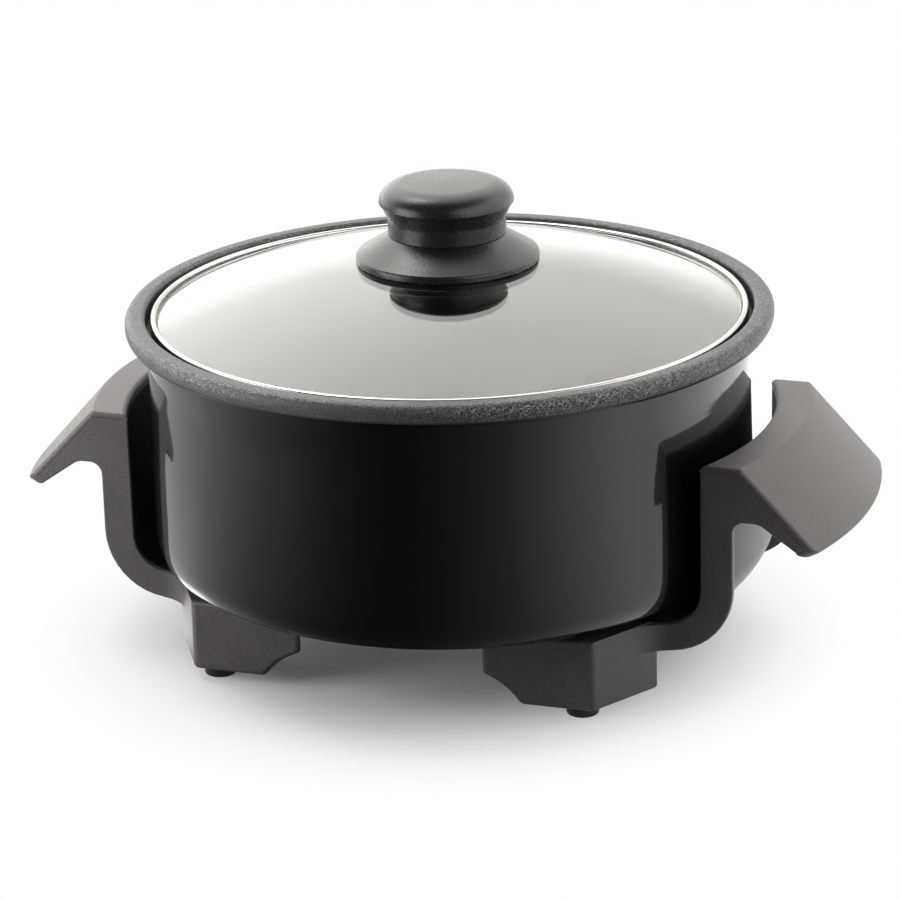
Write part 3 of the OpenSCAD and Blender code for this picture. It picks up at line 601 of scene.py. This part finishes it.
def pan_shell():
    """Deep pan with a rounded bead, a ledge for the lid and a set-in foot."""
    bm = turned([
        (0, PAN_Z), (PAN_LOW_R - PAN_FOOT_SET, PAN_Z), *pan_wall(), (RIM_R, BEAD_LOW_Z), (RIM_R, RIM_Z),
        (BEAD_IN_R, RIM_Z), (BEAD_IN_R, LEDGE_Z), (PAN_IN_R, LEDGE_Z), (PAN_IN_LOW_R, PAN_FLOOR_Z),
        (0, PAN_FLOOR_Z)], steps=192)
    round_ring(bm, PAN_LOW_R - PAN_FOOT_SET, PAN_Z, PAN_FOOT_ROUND, 4)
    round_ring(bm, PAN_LOW_R, PAN_Z + PAN_FOOT_H, PAN_LOW_ROUND, 4)
    round_ring(bm, RIM_R, BEAD_LOW_Z, BEAD_ROUND, 6)
    round_ring(bm, RIM_R, RIM_Z, BEAD_ROUND, 6)
    round_ring(bm, BEAD_IN_R, RIM_Z, BEAD_IN_ROUND, 5)
    round_ring(bm, PAN_IN_R, LEDGE_Z, LEDGE_ROUND, 3)
    round_ring(bm, PAN_IN_LOW_R, PAN_FLOOR_Z, PAN_CORNER - PAN_WALL, 6)
    # Enamel outside, flaked nonstick on the bead, plain nonstick inside
    for face in bm.faces:
        middle = face.calc_center_median()
        outward = face.normal.dot(Vector((middle.x, middle.y, 0))) > 0
        if middle.z < BEAD_LOW_Z and (outward or face.normal.z < -0.5):
            face.material_index = 0
        else:
            face.material_index = 1 if middle.z > LEDGE_Z + LEDGE_ROUND else 2
    return piece(bm, "pan_shell", "base", [ENAMEL, NONSTICK, NONSTICK_INSIDE], ["pan"])


# Lid

def lid_dome():
    """Domed glass with a flat ground edge and a hole for the knob screw."""
    inner_ball = GLASS_BALL - GLASS_T
    top = math.degrees(math.asin(GLASS_DOME_R / GLASS_BALL))
    low = math.degrees(math.acos((GLASS_LOW.z - GLASS_BALL_Z) / inner_ball))
    hole_out = math.degrees(math.asin(GLASS_HOLE_R / GLASS_BALL))
    hole_in = math.degrees(math.asin(GLASS_HOLE_R / inner_ball))
    centre = (0, GLASS_BALL_Z)
    bm = turned([
        *arc(centre, GLASS_BALL, 90 - hole_out, 90 - top, 28),
        (GLASS_R, GLASS_EDGE_Z), (GLASS_R, GLASS_LOW.z),
        *arc(centre, inner_ball, 90 - low, 90 - hole_in, 28)], closed=True, steps=192)
    round_ring(bm, GLASS_R, GLASS_EDGE_Z, GLASS_TOP_ROUND, 6)
    round_ring(bm, GLASS_R, GLASS_LOW.z, GLASS_LOW_ROUND)
    return piece(bm, "lid_dome", "lid", [GLASS], ["lid_glass"])


def lid_trim():
    """Steel channel round the edge of the glass, its top closed to a round roll."""
    r = BAND_HIGH.x
    low = BAND_LOW.z
    roll_z = BAND_HIGH.z + ROLL_RISE - ROLL_R
    glass_z = GLASS_EDGE_Z + GLASS_PLAY
    bm = turned([
        (r - BAND_LIP_LOW, low), (r, low), *arc((r - ROLL_R, roll_z), ROLL_R, 0, 180, 16),
        (r - 2 * ROLL_R, glass_z), (r - BAND_T, glass_z), (r - BAND_T, low + BAND_T),
        (r - BAND_LIP_LOW, low + BAND_T)], closed=True, steps=192)
    round_ring(bm, r, low, BAND_ROUND, 5)
    return piece(bm, "lid_trim", "lid", [STAINLESS], ["lid_band"])


def knob_cap():
    """Mushroom cap on a straight neck."""
    shoulder = [
        (KNOB_TOP_R + (KNOB_R - KNOB_TOP_R) * math.cos(a),
         KNOB_WIDE_Z + (KNOB_FLAT_Z - KNOB_WIDE_Z) * math.sin(a))
        for a in [math.radians(9 * i) for i in range(11)]]
    bm = turned([
        (0, NECK_Z), (NECK_R, NECK_Z), (NECK_R, NECK_Z + KNOB_NECK_H), (KNOB_R - KNOB_TUCK, KNOB_CREASE_Z),
        *shoulder, (0, KNOB_HIGH.z)], steps=128)
    round_ring(bm, NECK_R, NECK_Z, KNOB_SEAM_ROUND, 2)
    round_ring(bm, NECK_R, NECK_Z + KNOB_NECK_H, KNOB_NECK_ROUND, 3)
    round_ring(bm, KNOB_R - KNOB_TUCK, KNOB_CREASE_Z, KNOB_CREASE_ROUND, 3)
    return piece(bm, "knob_cap", "lid", [KNOB_PLASTIC], ["knob_grip"])


def knob_flare():
    """Flared skirt that keeps fingers off the hot glass."""
    low = SKIRT_LOW.z
    bm = turned([
        (SKIRT_HOLE_R, low), (SKIRT_BOSS_R, low), (SKIRT_BOSS_R, NECK_Z - SKIRT_T),
        (NECK_R - SKIRT_T, NECK_Z - SKIRT_T), (SKIRT_R - SKIRT_T, SKIRT_RIM_Z), (SKIRT_R, SKIRT_RIM_Z),
        (SKIRT_R, SKIRT_Z + SKIRT_LIP), (NECK_R, NECK_Z), (SKIRT_HOLE_R, NECK_Z)], closed=True, steps=128)
    round_ring(bm, SKIRT_R, SKIRT_Z + SKIRT_LIP, SKIRT_TOP_ROUND, 3)
    round_ring(bm, SKIRT_R, SKIRT_RIM_Z, SKIRT_RIM_ROUND, 3)
    round_ring(bm, NECK_R, NECK_Z, KNOB_SEAM_ROUND, 2)
    return piece(bm, "knob_flare", "lid", [KNOB_PLASTIC], ["knob_skirt"])


# Handles

def plate_x(r):
    """Place along x of a radius, in the outer plane of a side plate."""
    return math.sqrt(r * r - GRIP_HALF * GRIP_HALF)


def side_plate():
    """Flat plate at the front of the right handle: tail, arch, arm and the bend under the pan."""
    arm_in = plate_x(WEB_R)
    arm_out = plate_x(WEB_R + ARM_DEPTH)
    fall = PANEL.y / PANEL.x
    steps = [UNDER_R + (NOSE_ROOT.x - UNDER_R) * i / 8 for i in range(9)]
    tail = [(plate_x(r), UNDER_Z + fall * (r - UNDER_R)) for r in steps]
    under = NOSE + NOSE_BACK
    tail.append((plate_x(under.x), under.y))
    inner_y = PLATE_T - GRIP_HALF
    seam = [Vector(point) for point in ((arm_in, UNDER_Z), *tail)]
    bm = slab(rounded([
        *[(point, 0) for point in seam], ((arm_out + ARCH_W, ARCH_Z), TAIL_ROOT_ROUND),
        ((arm_out, ARCH_Z), ARCH_ROUND), ((arm_out, ARM_LOW_Z), BEND_OUT), ((ARM_END_X, ARM_END_Z), 0),
        ((ARM_END_X, SEAT_Z), 0), ((arm_in, SEAT_Z), BEND_IN)], 10), -GRIP_HALF, inner_y)
    # The edge towards the pan follows the grip cover round
    lean = math.sqrt(WEB_R ** 2 - inner_y ** 2) - arm_in
    for vert in bm.verts:
        if near(vert.co.y, inner_y) and vert.co.z > SEAT_Z - WELD and vert.co.x < arm_in + WELD:
            vert.co.x += lean * min((vert.co.z - SEAT_Z) / BEND_IN, 1)

    def on_seam(edge):
        return all(any((v.co.xz - point).length < WELD for point in seam) for v in edge.verts)

    def at_face(edge, y):
        return all(near(v.co.y, y) for v in edge.verts)

    round_edges(bm, lambda edge: at_face(edge, -GRIP_HALF) and not on_seam(edge), PLATE_ROUND, 4)
    round_edges(bm, lambda edge: at_face(edge, -GRIP_HALF) and on_seam(edge), SEAM_ROUND, 2)
    return bm


def arm_fillet():
    """Hollow fillet that carries the arm of the right handle round into the side of its foot block."""
    run = Vector((BLOCK_CORNER_X - BLOCK_SIDE_X, GRIP_HALF - BLOCK_FRONT)).normalized()
    open_angle = math.acos(run.x)
    tangent = ARM_FILLET / math.tan(open_angle / 2)
    start = Vector((BLOCK_SIDE_X + tangent, -GRIP_HALF))
    stop = Vector((BLOCK_SIDE_X, -GRIP_HALF)) + tangent * run
    centre = (start.x, start.y - ARM_FILLET)
    sunk = FILLET_SUNK * Vector((-1, 1))
    outline = [
        *arc(centre, ARM_FILLET, 90, 90 + 180 - math.degrees(open_angle), 10), stop + sunk,
        (BLOCK_SIDE_X - FILLET_ROOT, FILLET_ROOT - GRIP_HALF), start + Vector((0, FILLET_ROOT))]
    bm = bmesh.new()
    top = bm.faces.new([bm.verts.new((x, y, SEAT_Z - FILLET_TOP_GAP)) for x, y in outline])
    slope = (ARM_LOW_Z - ARM_END_Z) / (plate_x(WEB_R + ARM_DEPTH) - ARM_END_X)
    for part in bmesh.ops.extrude_face_region(bm, geom=[top])["geom"]:
        if isinstance(part, bmesh.types.BMVert):
            part.co.z = ARM_END_Z + slope * (part.co.x - ARM_END_X) + FILLET_LOW_GAP
    bmesh.ops.recalc_face_normals(bm, faces=bm.faces)
    return bm


def web_section(y):
    """Outline of the web at a place across the handle: flush with the plates, nearer the pan between them."""
    half = GRIP_HALF - PLATE_T / 2
    low_x = WEB_LOW_R + (plate_x(WEB_R) - WEB_LOW_R) * (y / half) ** 2
    low_r = math.hypot(low_x, y)
    top = UNDER_Z - LIP_H
    return rounded([
        ((TRAY_R, SEAT_Z), 0), ((low_r, SEAT_Z), BEND_IN), ((WEB_R, top), 0), ((WEB_R + LIP_T, top), 0),
        ((low_r + WEB_T, SEAT_Z - WEB_T), BEND_IN + WEB_T), ((TRAY_R, SEAT_Z - WEB_T), 0)], 10)


def web_wall():
    """Wall that follows the pan and turns under it to the seat."""
    half = GRIP_HALF - PLATE_T / 2
    bm = lofted([(y, web_section(y)) for y in [half * i / 16 for i in range(-16, 17)]])
    # The side that faces the pan, and the top under the cover, take the darker copy of the plastic: painted
    # shade in the gap by the pan
    for face in bm.faces:
        inward = face.normal.dot(Vector((*face.calc_center_median().xy, 0))) < -WELD
        face.material_index = 1 if inward or face.normal.z > 0.1 else 0
    return bm


def screw_shelf():
    """Shelf under the grip cover that takes its screws."""
    half = GRIP_HALF - PLATE_T / 2
    low = UNDER_Z - SHELF_DROP - WEB_T
    inner = WEB_R
    outer = CREASE_R - COVER_T
    bm = part_turned([(inner, low), (outer, low), (outer, low + WEB_T), (inner, low + WEB_T)], half)
    return trim_width(bm, half)


def tail_lip():
    """Lip inside the tip of the tail that joins the two side plates."""
    half = GRIP_HALF - PLATE_T / 2
    outer = NOSE_ROOT - SEAM * PANEL_OUT - SEAM * PANEL.normalized()
    inner = outer - TAIL_LIP_L * PANEL.normalized()
    depth = TAIL_LIP_T * PANEL_OUT
    bm = part_turned([inner, outer, outer - depth, inner - depth], half)
    return trim_width(bm, half)


def foot_block():
    """Hollow block at the front of the right handle, with a concave toe, open below."""
    plate_in = GRIP_HALF - PLATE_T
    rise = FOOT_H + TOE_RISE - BLOCK_LOW_Z
    chord = math.hypot(TOE_RUN, rise)
    offset = math.sqrt(TOE_R ** 2 - chord ** 2 / 4)
    toe_x = BLOCK_IN_X + TOE_RUN / 2 - offset * rise / chord
    toe_z = BLOCK_LOW_Z + rise / 2 - offset * TOE_RUN / chord
    toe = [BLOCK_IN_X + TOE_RUN * i / 6 for i in range(1, 6)]
    bm = slab(rounded([
        ((BLOCK_IN_X, SEAT_Z), 0), ((BLOCK_IN_X, BLOCK_LOW_Z + rise), TOE_TOP_ROUND),
        *[((x, toe_z + math.sqrt(TOE_R ** 2 - (x - toe_x) ** 2)), 0) for x in toe],
        ((BLOCK_IN_X + TOE_RUN, BLOCK_LOW_Z), TOE_LOW_ROUND), ((BLOCK_SIDE_X + TOE_RUN, BLOCK_LOW_Z), 0),
        ((BLOCK_SIDE_X + TOE_RUN, SEAT_Z), 0)], 3), -BLOCK_FRONT, -plate_in)
    # The slanted side, and the back cut clear of the bottom cover
    side = Vector((BLOCK_SIDE_X - BLOCK_CORNER_X, BLOCK_FRONT - GRIP_HALF, 0))
    back = Vector((BLOCK_IN_X + plate_in, -plate_in - BLOCK_IN_X, 0)).normalized()
    corner = Vector((BLOCK_CORNER_X, -BLOCK_FRONT, 0))
    for place, out in ((corner, Vector((side.y, -side.x, 0))), (TRAY_R * back, -back)):
        bmesh.ops.bisect_plane(
            bm, geom=bm.verts[:] + bm.edges[:] + bm.faces[:], dist=WELD, plane_co=place, plane_no=out,
            clear_outer=True)
        bmesh.ops.holes_fill(bm, edges=[e for e in bm.edges if e.is_boundary])
    tidy(bm)
    front = -BLOCK_FRONT + WELD

    def outer(edge):
        a, b = [v.co for v in edge.verts]
        at_front = a.y < front and b.y < front
        normals = [f.normal for f in edge.link_faces]
        under_side = near(a.z, BLOCK_LOW_Z) and near(b.z, BLOCK_LOW_Z)
        slanted = any(abs(n.z) < 0.1 and n.x > 0.5 for n in normals)
        return at_front or (under_side and slanted)
    round_edges(bm, outer, BLOCK_ROUND, 4)
    # The hollow, under the flat of the block
    flat = [f for f in bm.faces if all(near(v.co.z, BLOCK_LOW_Z) for v in f.verts)]
    bmesh.ops.inset_region(bm, faces=flat, thickness=BLOCK_WALL, use_even_offset=True, use_boundary=True)
    grown = bmesh.ops.extrude_face_region(bm, geom=flat)["geom"]
    bmesh.ops.translate(
        bm, vec=(0, 0, SEAT_Z - BLOCK_LOW_Z - WEB_T),
        verts=[g for g in grown if isinstance(g, bmesh.types.BMVert)])
    bmesh.ops.delete(bm, geom=[f for f in flat if f.is_valid], context="FACES_ONLY")
    bmesh.ops.recalc_face_normals(bm, faces=bm.faces)
    return bm


def handle_moulding():
    """Right handle: two side plates with their foot blocks, joined by the web, the shelf and the lip."""
    plates = both_sides(joined(side_plate(), foot_block(), arm_fillet()), "Y")
    return joined(plates, web_wall(), screw_shelf(), tail_lip())


def cover_section(depth):
    """Outline of the grip cover at a depth in from its side, where its edges and tip roll away."""
    drop = roll_off(depth, EDGE_ROUND)
    pull = roll_off(depth, TIP_ROUND)
    rise = roll_off(depth, SEAM_ROUND)
    lip_z = UNDER_Z - (LIP_H if depth > PLATE_T / 2 else 0.2 * SEAM)
    along = PANEL.normalized()
    crease = Vector((CREASE_R, GRIP_Z)) - drop * (Vector((0, 1)) + PANEL_OUT) / (1 + PANEL_OUT.y)
    tip = TIP - pull * along - drop * PANEL_OUT
    under = NOSE + NOSE_BACK
    kept = 1 - 0.8 * pull / TIP_ROUND
    nose = under.lerp(NOSE, kept)
    return rounded([
        ((WEB_R, lip_z), 0), ((WEB_R + LIP_T, lip_z), 0), ((WEB_R + LIP_T, UNDER_Z + rise), 0),
        ((UNDER_R, UNDER_Z + rise), 0), (NOSE_ROOT + rise * PANEL_OUT, 0), (under, 0),
        (nose, kept * NOSE_ROUND), (tip, TIP_EDGE_ROUND),
        (crease, CREASE_ROUND), ((WEB_R, GRIP_Z - drop), PLATE_ROUND + EDGE_ROUND - drop)], 5)


def grip_cover():
    """Cover of the right grip: a level band that breaks into a sloping panel with a rounded nose."""
    edge = [TIP_ROUND * (1 - math.cos(math.radians(10 * i))) for i in range(10)]
    edge += [EDGE_ROUND * (1 - math.cos(math.radians(15 * i))) for i in range(1, 6)]
    edge = sorted(edge + [SEAM_ROUND * 0.3, SEAM_ROUND, PLATE_T / 2, PLATE_T / 2 + SEAM])
    inside = [(GRIP_HALF - TIP_ROUND) * i / 12 for i in range(-11, 12)]
    near_side = [depth - GRIP_HALF for depth in edge]
    stations = near_side + inside + [-y for y in reversed(near_side)]
    return lofted([(y, cover_section(GRIP_HALF - abs(y))) for y in stations])


def rubber_foot(x, y, name, node):
    """Pressed-in foot with a rounded tread and a stem."""
    bm = turned([
        (0, 0), (FOOT_R, 0), (FOOT_R, FOOT_H), (FOOT_STEM_R, FOOT_H), (FOOT_STEM_R, FOOT_H + FOOT_STEM_H),
        (0, FOOT_H + FOOT_STEM_H)], steps=48)
    round_ring(bm, FOOT_R, 0, FOOT_TREAD_ROUND, 4)
    round_ring(bm, FOOT_R, FOOT_H, FOOT_TOP_ROUND, 2)
    bmesh.ops.translate(bm, vec=(x, y, 0), verts=bm.verts)
    return piece(bm, name, "base", [FOOT_RUBBER], [node])


def socket_housing():
    """Open box at the back for a plug-in control, with an ear on each side."""
    low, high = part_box("socket_guard")
    half = SOCKET_HALF
    box = slab([(-half, low.z), (half, low.z), (half, high.z), (-half, high.z)], low.y, high.y)
    mouth = [f for f in box.faces if f.normal.y > 0.5]
    bmesh.ops.inset_region(box, faces=mouth, thickness=SOCKET_WALL, use_even_offset=True, use_boundary=True)
    grown = bmesh.ops.extrude_face_region(box, geom=mouth)["geom"]
    bmesh.ops.translate(
        box, vec=(0, low.y + SOCKET_WALL - high.y, 0),
        verts=[g for g in grown if isinstance(g, bmesh.types.BMVert)])
    bmesh.ops.delete(box, geom=[f for f in mouth if f.is_valid], context="FACES_ONLY")
    bmesh.ops.recalc_face_normals(box, faces=box.faces)

    def outer(edge):
        at_side = all(near(abs(v.co.x), half) for v in edge.verts)
        return at_side and not all(near(v.co.z, high.z) for v in edge.verts)
    round_edges(box, outer, SOCKET_ROUND, 3)
    stud_low, stud_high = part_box("guard_studs")
    middle = (stud_low.y + stud_high.y) / 2
    ears = slab(
        [(low.x, high.z - EAR_T), (high.x, high.z - EAR_T), (high.x, high.z), (low.x, high.z)],
        middle - EAR_HALF, middle + EAR_HALF)

    def ear_corner(edge):
        a, b = [v.co for v in edge.verts]
        return near(a.x, b.x) and near(a.y, b.y)
    round_edges(ears, ear_corner, EAR_ROUND, 5)
    return piece(
        joined(box, ears), "socket_housing", "base", [KNOB_PLASTIC], ["socket_guard"])


pan_shell()
socket_housing()
lid_dome()
lid_trim()
knob_cap()
knob_flare()
# The second skin is the handle plastic darkened as painted shade for the gap by the pan
HANDLE_SKIN_AND_PAINTED_SHADE = [HANDLE_PLASTIC, HANDLE_PAINTED_SHADE]
piece(handle_moulding(), "handle_moulding_right", "base", HANDLE_SKIN_AND_PAINTED_SHADE, ["handle_right"])
piece(
    flipped(handle_moulding()), "handle_moulding_left", "base", HANDLE_SKIN_AND_PAINTED_SHADE,
    ["handle_left"])
piece(grip_cover(), "grip_shell_right", "base", [HANDLE_PLASTIC], ["grip_cover_right"])
piece(
    flipped(grip_cover()), "grip_shell_left", "base", [HANDLE_PLASTIC],
    ["grip_cover_left"])
for row, y in (("front", -FOOT_Y), ("back", FOOT_Y)):
    for side, x in (("left", -FOOT_X), ("right", FOOT_X)):
        rubber_foot(x, y, f"rubber_tread_{row}_{side}", f"foot_{row}_{side}")

# Pieces whose CAD shape is right keep it and take a finish
CAD_FINISHES = {
    "knob_insert": BRASS, "knob_gasket": GASKET, "knob_seal": SILICONE, "knob_washer": STAINLESS,
    "knob_screw": PLATED, "heat_plate": CAST, "heating_element": SHEATH, "probe_sleeve": CAST,
    "terminal_pins": PLATED, "pin_bushes": CERAMIC, "bottom_cover": PRESSED, "cover_screw": PLATED,
    "guard_studs": PLATED, "guard_nuts": PLATED, "grip_screws": PLATED,
    "handle_studs": PLATED, "handle_spacers": MICA, "handle_nuts": PLATED}
for name, finish in CAD_FINISHES.items():
    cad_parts[name].material_slots[0].material = finish


# Stage

def stage_floor():
    """Pale table top with the pan's shadow, plain white further out.

    What mirrors it sees a table that is dark in front of the pan and bright beside and behind it."""
    material, tree, place = new_material("pale_table")
    material.cycles.emission_sampling = "NONE"
    path = add(tree, "ShaderNodeLightPath")
    seen = add(tree, "ShaderNodeMath", {
        0: path.outputs["Is Camera Ray"], 1: path.outputs["Is Transmission Ray"]}, operation="MAXIMUM")
    pool = add(tree, "ShaderNodeVectorMath", {0: place, 1: (SHADOW_LEFT, 0, 0)}, operation="ADD")
    reach = add(tree, "ShaderNodeVectorMath", {0: pool.outputs[0]}, operation="LENGTH")
    fade = add(tree, "ShaderNodeMapRange", {
        0: reach.outputs["Value"], 1: SHADOW_IN_R, 2: SHADOW_OUT_R}, interpolation_type="SMOOTHSTEP")
    lit = add(tree, "ShaderNodeBsdfDiffuse", {"Color": colour("#b4b4b2")})
    pale = add(tree, "ShaderNodeBsdfDiffuse", {"Color": colour("#dededc")})
    glow = add(tree, "ShaderNodeEmission", {"Color": (1, 1, 1, 1), "Strength": 0.05})
    shade = add(tree, "ShaderNodeAddShader", {0: pale.outputs[0], 1: glow.outputs[0]})
    white = add(tree, "ShaderNodeEmission", {"Color": (1, 1, 1, 1), "Strength": 1.0})
    shown = add(tree, "ShaderNodeMixShader", {0: fade.outputs[0], 1: shade.outputs[0], 2: white.outputs[0]})
    way = add(tree, "ShaderNodeVectorMath", {0: place}, operation="NORMALIZE")
    split = add(tree, "ShaderNodeSeparateXYZ", {0: way.outputs[0]})
    front = add(tree, "ShaderNodeMapRange", {0: split.outputs["Y"], 1: -1.0, 2: -0.25, 3: 0.05, 4: 0.95})
    right = add(tree, "ShaderNodeMapRange", {0: split.outputs["X"], 1: 0.6, 2: 1.0, 3: 0.0, 4: 0.45})
    sides = add(tree, "ShaderNodeMath", {0: front.outputs[0], 1: right.outputs[0]}, operation="ADD")
    far = add(tree, "ShaderNodeMapRange", {0: split.outputs["Y"], 1: 0.0, 2: 1.0, 3: 0.0, 4: 1.1})
    gate = add(tree, "ShaderNodeMapRange", {0: split.outputs["X"], 1: -0.2, 2: 0.4})
    behind = add(tree, "ShaderNodeMath", {0: far.outputs[0], 1: gate.outputs[0]}, operation="MULTIPLY")
    table = add(tree, "ShaderNodeMath", {0: sides.outputs[0], 1: behind.outputs[0]}, operation="ADD")
    away = add(tree, "ShaderNodeVectorMath", {0: place}, operation="LENGTH")
    # A ring of the table close to the left foot block glows in reflections alone: a painted highlight on the
    # block's slanted side
    close = add(tree, "ShaderNodeMapRange", {
        0: away.outputs["Value"], 1: HIGHLIGHT_GLOW_IN_R, 2: HIGHLIGHT_GLOW_OUT_R, 3: HIGHLIGHT_GLOW_LEVEL, 4: 0.0})
    leftmost = add(tree, "ShaderNodeMapRange", {0: split.outputs["X"], 1: -0.82, 2: -0.93})
    card = add(tree, "ShaderNodeMath", {0: close.outputs[0], 1: leftmost.outputs[0]}, operation="MULTIPLY")
    total = add(tree, "ShaderNodeMath", {0: table.outputs[0], 1: card.outputs[0]}, operation="ADD")
    # In reflections the table darkens towards the pan: a painted shadow under it
    clear = add(tree, "ShaderNodeMapRange", {0: away.outputs["Value"], 1: PAINTED_SHADOW_IN_R, 2: PAINTED_SHADOW_OUT_R})
    level = add(tree, "ShaderNodeMath", {0: total.outputs[0], 1: clear.outputs[0]}, operation="MULTIPLY")
    mirrored = add(tree, "ShaderNodeEmission", {"Color": (1, 1, 1, 1), "Strength": level.outputs[0]})
    bounced = add(tree, "ShaderNodeMixShader", {
        0: path.outputs["Is Glossy Ray"], 1: lit.outputs[0], 2: mirrored.outputs[0]})
    close_material(tree, add(tree, "ShaderNodeMixShader", {
        0: seen.outputs[0], 1: bounced.outputs[0], 2: shown.outputs[0]}))
    bm = bmesh.new()
    bmesh.ops.create_circle(bm, cap_ends=True, segments=96, radius=TABLE_R)
    mesh = bpy.data.meshes.new("table_top")
    bm.to_mesh(mesh)
    bm.free()
    mesh.materials.append(material)
    floor = bpy.data.objects.new("table_top", mesh)
    bpy.context.collection.objects.link(floor)


def studio_world():
    """White wherever the camera looks; round the object a white sweep behind, brighter to the left and
    overhead, and a dark room in front."""
    world = bpy.data.worlds.new("studio")
    bpy.context.scene.world = world
    world.use_nodes = True
    tree = world.node_tree
    tree.nodes.clear()
    path = add(tree, "ShaderNodeLightPath")
    aim = add(tree, "ShaderNodeTexCoord").outputs["Generated"]
    way = add(tree, "ShaderNodeSeparateXYZ", {0: aim})
    sweep = add(tree, "ShaderNodeMapRange", {
        0: way.outputs["Y"], 1: -0.3, 2: 0.35, 3: 0.08, 4: 1.8}, interpolation_type="SMOOTHSTEP")
    left = add(tree, "ShaderNodeMapRange", {0: way.outputs["X"], 1: -0.2, 2: -0.75, 3: 0.0, 4: 1.5})
    overhead = add(tree, "ShaderNodeMapRange", {0: way.outputs["Z"], 1: 0.35, 2: 0.86, 3: 0.0, 4: 1.95})
    behind = add(tree, "ShaderNodeMapRange", {0: way.outputs["Y"], 1: -0.25, 2: 0.3})
    right = add(tree, "ShaderNodeMapRange", {0: way.outputs["X"], 1: 0.35, 2: 0.65, 3: 0.0, 4: 1.0})
    sides = add(tree, "ShaderNodeMath", {0: left.outputs[0], 1: right.outputs[0]}, operation="ADD")
    boost = add(tree, "ShaderNodeMath", {0: sides.outputs[0], 1: overhead.outputs[0]}, operation="ADD")
    part = add(tree, "ShaderNodeMath", {0: boost.outputs[0], 1: behind.outputs[0]}, operation="MULTIPLY")
    whole = add(tree, "ShaderNodeMath", {0: sweep.outputs[0], 1: part.outputs[0]}, operation="ADD")
    # A black flag hangs over the right side
    across = add(tree, "ShaderNodeMapRange", {0: way.outputs["X"], 1: 0.0, 2: 0.4})
    high = add(tree, "ShaderNodeMapRange", {0: way.outputs["Z"], 1: 0.62, 2: 0.85, 3: 0.0, 4: 0.85})
    flag = add(tree, "ShaderNodeMath", {0: across.outputs[0], 1: high.outputs[0]}, operation="MULTIPLY")
    open_part = add(tree, "ShaderNodeMath", {0: 1.0, 1: flag.outputs[0]}, operation="SUBTRACT")
    room = add(tree, "ShaderNodeMath", {0: whole.outputs[0], 1: open_part.outputs[0]}, operation="MULTIPLY")
    # A soft lamp high on the left
    lamp = Vector((-0.46, 0.15, 0.88)).normalized()
    toward = add(tree, "ShaderNodeVectorMath", {0: aim, 1: lamp}, operation="DOT_PRODUCT")
    spot = add(tree, "ShaderNodeMapRange", {
        0: toward.outputs["Value"], 1: 0.96, 2: 1.0, 3: 0.0, 4: 9.0}, interpolation_type="SMOOTHSTEP")
    lit_room = add(tree, "ShaderNodeMath", {0: room.outputs[0], 1: spot.outputs[0]}, operation="ADD")
    mirror = add(tree, "ShaderNodeMath", {
        0: path.outputs["Is Glossy Ray"], 1: path.outputs["Is Transmission Ray"]}, operation="MAXIMUM")
    share = add(tree, "ShaderNodeMapRange", {0: mirror.outputs[0], 3: 0.6, 4: 1.0})
    round_it = add(tree, "ShaderNodeMath", {
        0: lit_room.outputs[0], 1: share.outputs[0]}, operation="MULTIPLY")
    # A wide soft lamp low on the right, for gloss alone
    card = Vector((0.85, -0.40, 0.34)).normalized()
    facing = add(tree, "ShaderNodeVectorMath", {0: aim, 1: card}, operation="DOT_PRODUCT")
    glow = add(tree, "ShaderNodeMapRange", {
        0: facing.outputs["Value"], 1: 0.8, 2: 0.97, 3: 0.0, 4: 3.0}, interpolation_type="SMOOTHSTEP")
    gloss = add(tree, "ShaderNodeMath", {
        0: glow.outputs[0], 1: path.outputs["Is Glossy Ray"]}, operation="MULTIPLY")
    every = add(tree, "ShaderNodeMath", {0: round_it.outputs[0], 1: gloss.outputs[0]}, operation="ADD")
    level = add(tree, "ShaderNodeMix", {0: path.outputs["Is Camera Ray"], 2: every.outputs[0], 3: 1.0})
    tint = add(tree, "ShaderNodeMix", {
        0: path.outputs["Is Camera Ray"], 6: colour("#fffdf8"), 7: (1, 1, 1, 1)}, data_type="RGBA")
    sky = add(tree, "ShaderNodeBackground", {"Color": tint.outputs[2], "Strength": level.outputs[0]})
    add(tree, "ShaderNodeOutputWorld", {"Surface": sky.outputs[0]})


def softbox(name, place, aim, side, watts):
    """Square soft lamp that faces a point."""
    lamp = bpy.data.lights.new(name, "AREA")
    lamp.shape = "SQUARE"
    lamp.size = side
    lamp.energy = watts
    obj = bpy.data.objects.new(name, lamp)
    bpy.context.collection.objects.link(obj)
    obj.location = place
    obj.rotation_euler = (Vector(aim) - Vector(place)).to_track_quat("-Z", "Y").to_euler()
    obj.visible_camera = False


def camera():
    """Camera at the photograph's viewing angle."""
    back = Vector((
        math.sin(VIEW_AZIMUTH) * math.cos(VIEW_ELEVATION), -math.cos(VIEW_AZIMUTH) * math.cos(VIEW_ELEVATION),
        math.sin(VIEW_ELEVATION)))
    right = Vector((math.cos(VIEW_AZIMUTH), math.sin(VIEW_AZIMUTH), 0))
    up = back.cross(right)
    across = math.cos(VIEW_ROLL) * right - math.sin(VIEW_ROLL) * up
    upward = math.sin(VIEW_ROLL) * right + math.cos(VIEW_ROLL) * up
    data = bpy.data.cameras.new("camera")
    data.sensor_width = SENSOR
    data.lens = VIEW_LENS
    obj = bpy.data.objects.new("camera", data)
    bpy.context.collection.objects.link(obj)
    aim = VIEW_AIM_RIGHT * right + Vector((0, 0, VIEW_AIM_Z))
    turn = Matrix((across, upward, back)).transposed().to_4x4()
    obj.matrix_world = Matrix.Translation(aim + VIEW_DISTANCE * back) @ turn
    bpy.context.scene.camera = obj


bpy.context.scene.view_settings.view_transform = "Standard"
stage_floor()
studio_world()
camera()
softbox("left_softbox", LAMP_PLACE, LAMP_AIM, LAMP_SIDE, LAMP_WATTS)
